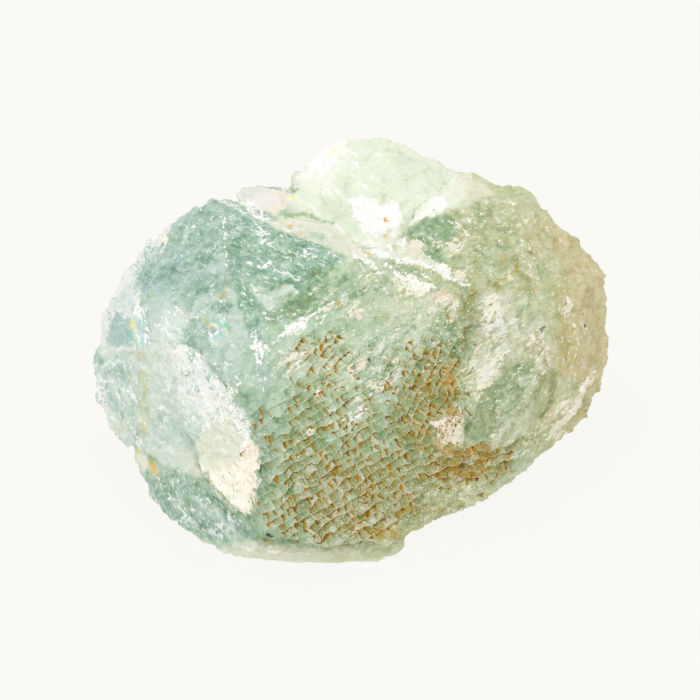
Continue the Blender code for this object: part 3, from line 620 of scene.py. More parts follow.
RIGHT_MARKS = [
    # valley between the centre and the right lobe
    area("pale sage", [(386, 300), (412, 298), (438, 285), (462, 292), (458, 312), (430, 330), (404, 345),
                       (388, 330)], 0.85, 7, 0.15),
    area("fresh", [(410, 330), (430, 316), (440, 312), (436, 326), (414, 346)], 0.6, 5, 0.2),
    line("chalk", [(402, 342), (414, 326), (430, 310), (446, 296)], 5, 0.6, 0.35, 0.1),
    line("chalk", [(396, 330), (410, 314), (424, 304)], 3, 0.5, 0.4, 0.1),
    area("peach", [(438, 294), (444, 284), (449, 290), (446, 300), (438, 300)], 0.8, 3, 0.1),
    area("chalk", [(442, 300), (452, 297), (461, 300), (460, 310), (448, 312)], 0.8, 3, 0.1, 0.1),
    oval("khaki", (452, 291, 6, 5, 0), 0.5), area("leaf", [(430, 330), (446, 322), (470, 318), (474, 345),
                                                          (460, 358), (436, 362), (424, 350)], 0.8, 7, 0.1),
    area("moss", [(462, 288), (480, 284), (484, 300), (476, 322), (468, 340), (452, 336), (460, 312)], 0.85, 6, 0.1),
    area("deep leaf", [(448, 322), (460, 318), (468, 330), (462, 342), (448, 338)], 0.45, 5, 0.3),
    oval("deep leaf", (470, 352, 8, 7, -20), 0.5), oval("olive", (436, 352, 8, 6, 0), 0.5, 0.2),
    oval("haze", (434, 344, 4, 6, 30), 0.4, 0.4), oval("haze", (420, 340, 3, 8, 20), 0.4, 0.3),
    line("rust", [(445, 309), (449, 315), (450, 321)], 3.4, 0.85, 0.15, -0.1), oval("rust", (456, 294, 3, 1.4, 0), 0.5),
    oval("rust", (475, 317, 4, 1.8, 0), 0.85, 0.1), line("rust", [(473, 290), (470, 296)], 2.4, 0.8, 0.2),
    oval("rust", (463, 328, 3, 2, 0), 0.9), line("rust", [(484, 299), (481, 308)], 2, 0.7, 0.4),
    line("brown", [(458, 336), (464, 342), (470, 338), (476, 330)], 2, 0.6, 0.3),
    line("rust", [(464, 346), (470, 340), (476, 334)], 2.4, 0.6, 0.3), oval("brown", (462, 334, 2, 2, 0), 0.7),
    oval("rust", (467, 302, 2, 1.6, 0), 0.6), oval("rust", (431, 354, 2.4, 2, 0), 0.7),
    oval("black", (474, 345, 1.4, 1.4, 0), 0.8),
    # right lobe: dark tip, flecked top, tan side
    area("khaki", [(455, 200), (520, 196), (545, 222), (556, 260), (550, 300), (520, 300), (490, 290), (462, 285),
                   (448, 262), (450, 240)], 1, 8),
    area("leaf", [(404, 231), (420, 222), (440, 214), (451, 215), (459, 224), (458, 238), (446, 244), (428, 246),
                  (413, 240)], 1, 3, 0.1),
    area("khaki", [(455, 214), (470, 206), (490, 204), (480, 222), (460, 226)], 0.5, 6, 0.2),
    oval("pale sage", (448, 208, 7, 4, -10), 0.7, 0.2), oval("deep leaf", (426, 226, 16, 5, -22), 0.4),
    line("pale sage", [(416, 237), (424, 233), (432, 238)], 3, 0.8, 0.4), oval("pale sage", (442, 240, 4, 2, 0), 0.6, 0.4),
    oval("pale sage", (462, 222, 5, 2, 0), 0.7, 0.3), oval("chalk", (466, 232, 6, 4, -20), 0.6, 0.4),
    area("chalk", [(412, 241), (426, 243), (424, 250), (436, 262), (452, 268), (450, 276), (430, 270), (410, 262),
                   (400, 252)], 0.85, 4, 0.25),
    area("leaf", [(421, 250), (434, 246), (442, 249), (448, 257), (445, 263), (437, 263), (428, 258)], 0.9, 3, 0.1),
    area("chalk", [(441, 244), (452, 243), (466, 244), (462, 252), (450, 252)], 0.8, 3, 0.3, 0.1),
    oval("haze", (429, 260, 7, 4, 30), 0.6), oval("leaf", (462, 262, 10, 10, 0), 0.4, 0.3),
    area("dull khaki", [(466, 216), (520, 206), (540, 230), (548, 262), (530, 296), (500, 292), (470, 280),
                        (460, 250)], 0.5, 10, 0.45),
    area("sage", [(484, 246), (502, 240), (506, 262), (492, 282), (480, 272)], 0.45, 6, 0.35),
    line("chalk", [(468, 226), (484, 222), (500, 224)], 2, 0.6, 0.5), line("chalk", [(470, 238), (480, 236)], 2.4, 0.6, 0.4),
    line("chalk", [(448, 254), (470, 252), (490, 256)], 2, 0.5, 0.5), line("chalk", [(478, 214), (500, 210)], 2, 0.5),
    line("cream", [(499, 199), (510, 202), (516, 204)], 3, 0.8, 0.2, 0.1), oval("rim", (534, 206, 5, 8, -30), 0.6, 0.2),
    line("chalk", [(506, 236), (512, 246), (516, 256)], 3, 0.5, 0.4), oval("mist", (488, 264, 6, 6, 0), 0.5, 0.4),
    line("cream", [(520, 238), (530, 248), (535, 262), (536, 280)], 2, 0.6, 0.3, 0.1),
    line("dull khaki", [(524, 244), (530, 258), (528, 276)], 5, 0.5, 0.2), oval("dull khaki", (516, 280, 9, 8, 0), 0.6),
    line("sand", [(536, 232), (540, 262), (538, 290), (542, 318)], 3, 0.45, 0.4), oval("black", (496, 248, 2.6, 0.9, -50), 0.6),
    line("rust", [(497, 289), (494, 284), (498, 280), (510, 277), (516, 269), (518, 262)], 2, 0.85, 0.2, -0.1),
    line("rust", [(520, 272), (526, 276)], 1.6, 0.6, 0.3), oval("orange", (533, 288, 3.4, 2.4, 0), 0.6, 0.2),
    oval("orange", (504, 260, 4, 2.4, 0), 0.4, 0.4), oval("orange", (512, 255, 3, 2, -20), 0.35, 0.4),
    line("peach", [(505, 290), (514, 296), (520, 306), (522, 318)], 3, 0.6, 0.3), oval("orange", (490, 264, 4, 2, 0), 0.3),
    area("tan", [(546, 226), (562, 232), (578, 250), (592, 264), (602, 282), (606, 330), (602, 372), (586, 372),
                 (566, 372), (554, 356), (558, 320), (548, 290), (552, 258)], 1, 8),
    area("sand", [(548, 216), (566, 236), (592, 260), (606, 272), (612, 320), (608, 380), (598, 384), (600, 340),
                  (598, 300), (588, 276), (566, 254)], 0.7, 6),
    oval("dull khaki", (560, 262, 7, 20, 0), 0.4, 0.3), oval("khaki", (570, 276, 14, 16, 0), 0.35),
    oval("tan", (588, 320, 10, 18, 0), 0.5), oval("dull khaki", (578, 340, 14, 14, 0), 0.6),
    area("chalk", [(560, 308), (566, 296), (572, 296), (572, 306), (566, 312), (568, 318), (562, 314)], 0.8, 4, 0.3),
    oval("rust", (573, 343, 6, 1.6, 0), 0.5, 0.3), oval("rust", (575, 357, 5, 1.4, 0), 0.65, 0.2),
    oval("rust", (573, 331, 1.6, 5, 0), 0.35), oval("haze", (586, 346, 3, 6, 0), 0.4, 0.3),
    oval("chalk", (572, 349, 5, 1.6, 0), 0.4, 0.3), oval("black", (544, 326, 1.6, 1.4, 0), 0.95),
    oval("black", (542, 328, 1, 1, 0), 0.8), oval("black", (581, 313, 1.1, 0.9, 0), 0.8),
    oval("black", (584, 324, 1.2, 1, 0), 0.8), line("sand", [(548, 316), (548, 326), (545, 332)], 2.6, 0.7, 0.2),
    line("moss", [(540, 318), (550, 322), (556, 334), (552, 346)], 3, 0.5, 0.4),
    # frosted middle of the right lobe
    area("pale sage", [(480, 292), (500, 290), (530, 300), (546, 320), (556, 352), (548, 372), (520, 372),
                       (500, 366), (476, 392), (466, 372), (472, 340)], 0.9, 8, 0.25),
    area("chalk", [(480, 318), (486, 300), (494, 294), (499, 304), (494, 318), (486, 326)], 0.8, 4, 0.35, 0.1),
    oval("chalk", (512, 326, 14, 10, 10), 0.5, 0.5), oval("chalk", (526, 342, 14, 8, 40), 0.5, 0.5),
    area("blush", [(529, 332), (540, 326), (547, 338), (553, 356), (552, 366), (542, 364), (534, 350)], 0.65, 5, 0.35),
    area("white", [(476, 388), (479, 374), (486, 364), (500, 354), (508, 350), (512, 356), (500, 364), (490, 374),
                   (482, 386), (478, 394)], 0.75, 4, 0.3, 0.12),
    area("khaki", [(476, 336), (494, 334), (500, 346), (482, 352), (470, 350)], 0.5, 6, 0.4),
    area("khaki", [(456, 366), (476, 362), (474, 384), (462, 392)], 0.7, 5, 0.3),
    # dark lens with pale curved bands
    area("leaf", [(500, 372), (516, 360), (534, 362), (534, 378), (524, 398), (510, 416), (496, 434), (478, 442),
                  (462, 436), (468, 410), (484, 392)], 0.9, 5, 0.15),
    area("moss", [(466, 420), (484, 408), (500, 412), (492, 432), (474, 436)], 0.4, 6, 0.2),
    oval("mist", (516, 378, 12, 8, 30), 0.4, 0.5), oval("mist", (508, 392, 8, 4, 20), 0.4, 0.5),
    line("chalk", [(461, 426), (466, 412), (478, 398), (490, 384), (498, 366), (504, 360)], 2, 0.7, 0.2, 0.12),
    line("pale sage", [(470, 412), (480, 402), (492, 390), (498, 378)], 2, 0.6, 0.3, 0.1),
    line("pale sage", [(496, 437), (508, 424), (520, 408), (530, 390), (536, 372), (540, 358)], 7, 0.9, 0.15, 0.15),
    line("chalk", [(492, 436), (500, 434), (508, 430)], 5, 0.6, 0.3), line("beige", [(534, 378), (528, 392), (516, 408)], 2, 0.6),
    area("moss", [(538, 378), (552, 366), (560, 376), (556, 396), (546, 416), (530, 424), (522, 424), (532, 404)], 0.8,
         5, 0.1),
    area("khaki", [(556, 372), (576, 376), (580, 392), (566, 412), (550, 418), (556, 396)], 0.8, 6, 0.1),
    oval("peach", (568, 372, 9, 5, 10), 0.6, 0.2), oval("peach", (552, 412, 5, 8, 30), 0.5, 0.3),
    line("chalk", [(594, 372), (586, 386), (578, 400), (572, 414), (556, 428), (548, 438)], 6, 0.85, 0.2, 0.12),
    oval("white", (583, 386, 5, 5, -30), 0.6, 0.3), oval("khaki", (590, 398, 3, 10, 10), 0.5),
    oval("chalk", (562, 434, 7, 4, -30), 0.7, 0.2), oval("sage", (544, 434, 7, 3, 20), 0.6, 0.3),
    area("moss", [(500, 444), (524, 430), (540, 428), (548, 440), (520, 456), (500, 462), (488, 456)], 0.6, 6, 0.2),
    line("pale sage", [(522, 424), (514, 434), (506, 446)], 4, 0.5, 0.4), oval("haze", (520, 455, 10, 3, -14), 0.8, 0.3),
    line("haze", [(506, 462), (516, 460), (528, 452)], 2, 0.6, 0.3), oval("sage", (515, 466, 10, 4, -20), 0.5, 0.3),
    oval("leaf", (505, 456, 4, 8, 30), 0.5, 0.3), oval("mist", (486, 474, 8, 5, -20), 0.6, 0.4),
    oval("mist", (480, 484, 5, 4, 0), 0.6, 0.4), area("khaki", [(440, 484), (466, 476), (500, 466), (516, 474),
                                                              (486, 494), (466, 508), (430, 512)], 0.6, 8, 0.2),
    line("chalk", [(456, 488), (460, 495), (460, 501)], 5, 0.8, 0.3, 0.1), oval("sage", (420, 488, 10, 8, -20), 0.5, 0.3),
    line("chalk", [(436, 502), (432, 508), (430, 514)], 2.4, 0.6, 0.3), oval("haze", (424, 520, 4, 4, 0), 0.6, 0.3),
    oval("moss", (455, 505, 12, 3, -8), 0.6), oval("moss", (480, 492, 10, 3, -30), 0.5),
    line("brown", [(480, 490), (481, 496)], 3, 0.8, 0.1), oval("gold", (486, 493, 1.6, 1.4, 0), 0.9),
    line("rust", [(486, 478), (488, 484)], 2, 0.6, 0.3), oval("gold", (474, 502, 1.4, 1.1, 0), 0.8),
    # foot of the valley: orange, white and beige
    line("white", [(430, 421), (438, 423), (446, 421)], 4, 0.9, 0.2, 0.12), oval("haze", (430, 424, 4, 2, 0), 0.8, 0.2),
    area("orange", [(446, 410), (452, 408), (458, 414), (454, 424), (447, 424)], 0.75, 3, 0.25),
    line("white", [(452, 420), (457, 415), (462, 412)], 3, 0.9, 0.2, 0.12), oval("peach", (450, 427, 6, 4, 0), 0.6, 0.3),
    area("beige", [(448, 436), (456, 428), (465, 430), (466, 440), (456, 446), (448, 444)], 0.85, 3, 0.2),
    area("peach", [(434, 440), (444, 434), (450, 444), (440, 450), (434, 448)], 0.6, 4, 0.3),
    line("rust", [(434, 430), (442, 436), (450, 432)], 2, 0.8, 0.3, -0.08), line("rust", [(436, 441), (448, 440)], 1.8, 0.7),
    line("rust", [(436, 450), (448, 454), (464, 452), (474, 448)], 2.4, 0.85, 0.2, -0.1),
    oval("orange", (448, 453, 3, 2, 0), 0.8), line("orange", [(470, 446), (482, 447), (494, 449)], 2.4, 0.7, 0.3),
    line("rust", [(458, 364), (450, 366), (447, 374)], 2.4, 0.8, 0.2), oval("orange", (447, 384, 3, 5, 0), 0.6, 0.3),
    area("orange", [(444, 366), (452, 372), (457, 384), (456, 396), (448, 390), (445, 378)], 0.7, 4, 0.3),
    line("brown", [(452, 386), (456, 394), (454, 400)], 2.4, 0.7, 0.3), line("rust", [(459, 375), (459, 383)], 2.4, 0.8),
    line("rust", [(448, 410), (452, 404), (458, 402)], 2.4, 0.7, 0.3), oval("peach", (461, 378, 3, 5, 0), 0.3),
    area("brown", [(464, 452), (476, 450), (486, 454), (492, 462), (476, 466)], 0.4, 5, 0.5),
    line("brown", [(450, 470), (458, 466), (466, 468)], 2.4, 0.7, 0.3), line("brown", [(446, 476), (454, 480)], 2.4, 0.7),
    oval("peach", (466, 474, 5, 2.5, 0), 0.5, 0.3), line("peach", [(460, 468), (468, 476)], 2, 0.4),
    line("brown", [(418, 485), (420, 490)], 3.6, 0.8, 0.2), oval("rust", (415, 512, 2, 3, 0), 0.6, 0.2),
    line("orange", [(414, 430), (424, 431)], 2.4, 0.6, 0.2), line("orange", [(416, 448), (426, 450)], 2.2, 0.7, 0.2),
]

BACK_MARKS = [
    # lump, from its white foot to its green top
    area("lump green", [(288, 178), (300, 162), (322, 146), (352, 132), (404, 134), (470, 168), (470, 205), (448, 208),
                        (420, 222), (402, 234), (372, 256), (346, 250), (300, 216), (286, 200)], 1, 6),
    area("lump", [(290, 174), (305, 162), (322, 146), (345, 138), (350, 160), (345, 185), (330, 200), (300, 186)], 1, 6),
    area("white", [(296, 160), (322, 142), (346, 138), (348, 152), (332, 166), (322, 174), (308, 168)], 0.9, 5, 0.15),
    oval("lemon", (336, 152, 12, 5, -30), 0.35, 0.3), oval("lemon", (325, 166, 2.4, 1.8, 0), 0.7),
    area("lump green", [(352, 138), (400, 140), (440, 160), (456, 176), (450, 192), (428, 186), (400, 180), (380, 184),
                        (362, 172), (352, 160)], 0.9, 8, 0.1),
    oval("fresh", (412, 164, 26, 11, 28), 0.5, 0.15), oval("fresh", (368, 146, 8, 6, 0), 0.4, 0.3),
    oval("fresh", (385, 182, 10, 9, 0), 0.5, 0.4), oval("fresh", (402, 179, 12, 4, 20), 0.5, 0.35),
    oval("fresh", (344, 182, 8, 12, -10), 0.45, 0.2), oval("fresh", (296, 178, 4, 14, 0), 0.6, 0.2),
    oval("fresh", (356, 166, 6, 4, 0), 0.5, 0.4), oval("lump", (360, 186, 8, 6, 0), 0.5, 0.3),
    area("white", [(350, 200), (362, 194), (380, 204), (398, 200), (404, 214), (398, 236), (380, 236), (362, 234),
                   (354, 216)], 0.95, 5, 0.15),
    area("white", [(424, 204), (432, 194), (446, 196), (450, 206), (438, 212), (424, 218), (412, 224)], 0.8, 5, 0.2),
    area("lump", [(400, 196), (424, 190), (428, 206), (412, 220), (402, 212)], 0.7, 6, 0.2),
    oval("fresh", (404, 206, 4, 7, 10), 0.4, 0.3), oval("white", (372, 166, 6, 3, 0), 0.5, 0.4),
    line("white", [(352, 152), (358, 160), (352, 170)], 4, 0.6, 0.4), oval("white", (300, 178, 4, 8, 40), 0.5, 0.4),
    line("white", [(304, 172), (318, 180), (326, 190)], 4, 0.7, 0.35, 0.1),
    line("lump", [(324, 184), (336, 192), (350, 204)], 3, 0.8, 0.2, 0.1), oval("blush", (440, 168, 2, 1.6, 0), 0.6),
    oval("olive", (383, 198, 3, 4, 0), 0.35, 0.4), oval("olive", (384, 195, 4, 2, 0), 0.25, 0.4),
    oval("moss", (406, 180, 3, 1.6, 20), 0.4, 0.3), oval("orange", (385, 220, 1.6, 1.6, 0), 0.7),
    line("orange", [(385, 222), (387, 230), (385, 238)], 3, 0.45, 0.4), oval("orange", (385, 238, 2.2, 1.6, 0), 0.75),
    line("peach", [(386, 220), (388, 238)], 5, 0.4, 0.3), line("moss", [(430, 207), (434, 212)], 1.6, 0.7, 0.1),
    area("lump", [(356, 234), (400, 236), (408, 246), (400, 262), (376, 258), (362, 244)], 0.8, 6, 0.3),
    oval("cream", (372, 240, 10, 5, 20), 0.5, 0.4), oval("white", (400, 242, 8, 4, 0), 0.7, 0.3),
    oval("moss", (393, 248, 3, 2, -20), 0.35, 0.4), oval("peach", (405, 246, 1.6, 1.4, 0), 0.6),
    # second piece behind the strip
    area("lump green", [(296, 197), (306, 190), (318, 192), (334, 202), (348, 216), (356, 232), (348, 236), (330, 224),
                        (305, 216), (285, 208)], 0.95, 4),
    oval("fresh", (330, 208, 16, 8, 30), 0.4, 0.2), line("white", [(302, 201), (310, 206), (314, 209)], 4, 0.9, 0.15, 0.1),
    oval("white", (316, 213, 4, 2.5, 10), 0.9, 0.2), line("fresh", [(300, 196), (316, 193), (330, 200)], 3, 0.5, 0.3),
    # strip behind the ridge of the left block
    area("beige", [(270, 220), (283, 216), (300, 217), (334, 224), (352, 240), (366, 256), (350, 262), (330, 252),
                   (300, 238), (275, 230)], 0.9, 3),
    area("mist", [(290, 222), (330, 226), (352, 246), (340, 252), (306, 238)], 0.5, 5, 0.3),
    line("leaf", [(284, 216), (298, 215), (314, 218), (334, 224)], 2.6, 0.9, 0.1, -0.12),
    line("moss", [(292, 215), (304, 216)], 1.6, 0.5, 0.3), line("white", [(334, 226), (346, 231)], 2.4, 0.8, 0.2, 0.1),
    line("rim", [(334, 222), (350, 234), (366, 252)], 2, 0.7, 0.2, 0.1), oval("white", (282, 217, 2, 1.4, 0), 0.9),
    oval("orange", (291, 225, 2, 3, 20), 0.75), oval("orange", (301, 224, 1.6, 1, 0), 0.5),
    oval("orange", (300, 234, 4, 2, 0), 0.25), oval("orange", (367, 254, 2.6, 1.8, 20), 0.95),
    line("blush", [(282, 231), (296, 237), (312, 243)], 3, 0.6, 0.2), oval("haze", (326, 222, 4, 1.4, 10), 0.7),
    # nub, and the bright gap below it
    area("lilac", [(234, 200), (238, 190), (250, 184), (275, 186), (291, 192), (292, 204), (275, 216), (262, 212),
                   (246, 202)], 1, 4),
    oval("mist", (250, 192, 11, 5, -10), 0.6, 0.3), oval("white", (266, 196, 4, 3, 0), 0.6, 0.3),
    oval("lemon", (292, 197, 6, 4, 0), 0.85), oval("blush", (276, 194, 8, 5, 0), 0.6, 0.2),
    area("white", [(238, 202), (247, 201), (258, 206), (270, 213), (268, 222), (258, 219), (248, 211)], 1, 2.5),
    oval("lemon", (276, 208, 5, 3, 20), 0.3), oval("fresh", (289, 207, 8, 3, 10), 0.35),
    # strip behind the right lobe
    area("khaki", [(456, 172), (480, 176), (520, 190), (545, 206), (562, 228), (548, 224), (524, 204), (490, 200),
                   (462, 204), (452, 196)], 0.8, 5),
    area("lump", [(450, 176), (462, 176), (468, 190), (460, 202), (450, 200)], 0.8, 4, 0.1),
    oval("beige", (480, 190, 14, 5, 15), 0.6, 0.3), line("white", [(456, 174), (470, 178)], 3, 0.8, 0.1),
    # white saddle below the lump
    line("white", [(371, 246), (384, 256), (398, 261), (416, 262)], 3.4, 0.9, 0.25, 0.15),
    line("white", [(404, 258), (418, 262), (434, 270), (447, 276), (466, 286)], 3.4, 0.95, 0.2, 0.2),
    area("leaf", [(394, 263), (412, 266), (424, 272), (420, 278), (406, 276), (396, 270)], 0.8, 4, 0.2),
    area("sage", [(424, 272), (436, 276), (452, 286), (440, 288), (426, 282)], 0.6, 4, 0.2),
    area("cream", [(395, 273), (408, 276), (422, 280), (434, 284), (430, 290), (414, 298), (403, 291), (392, 284)],
         0.95, 3, 0.2, 0.15),
    oval("khaki", (404, 282, 4, 2.5, 20), 0.4, 0.4), oval("chalk", (384, 272, 7, 2.5, 35), 0.6, 0.35),
    area("white", [(437, 264), (448, 263), (451, 268), (448, 279), (438, 272)], 0.9, 3, 0.15, 0.1),
    area("chalk", [(452, 271), (464, 270), (467, 282), (456, 280)], 0.9, 3, 0.2, 0.1),
    oval("leaf", (437, 290, 8, 2, -10), 0.3), oval("chalk", (455, 259, 4, 3, 0), 0.3, 0.4),
]

MARKS = LEFT_MARKS + LOW_LEFT_MARKS + CENTRE_MARKS + RIGHT_MARKS + BACK_MARKS


def strokes(colour, place, count, length, lean, width=1.6, strength=0.8, height=0):
    """Short lines of one colour scattered in an oval, all leaning about one way (degrees, falling to the right)."""
    x, y, half_length, half_width, slope = place
    dice = random.Random(f"{colour} {x} {y}")
    across, marks = radians(slope), []
    for _ in range(count):
        turn, out = dice.uniform(0, 2 * pi), dice.random() ** 0.5
        along, aside = half_length * out * cos(turn), half_width * out * sin(turn)
        middle = (x + along * cos(across) - aside * sin(across), y + along * sin(across) + aside * cos(across))
        half, wide = length * dice.uniform(0.25, 0.75), width * dice.uniform(0.6, 1.4)
        ends = []
        for side in (-1, 0, 1):
            way = radians(lean + dice.uniform(-STROKE_TURN, STROKE_TURN))
            ends.append((middle[0] + side * half * cos(way), middle[1] + side * half * sin(way)))
        marks.append(line(colour, ends, wide, strength * dice.uniform(0.6, 1), 0.25, height))
    return marks


STROKE_TURN = 14

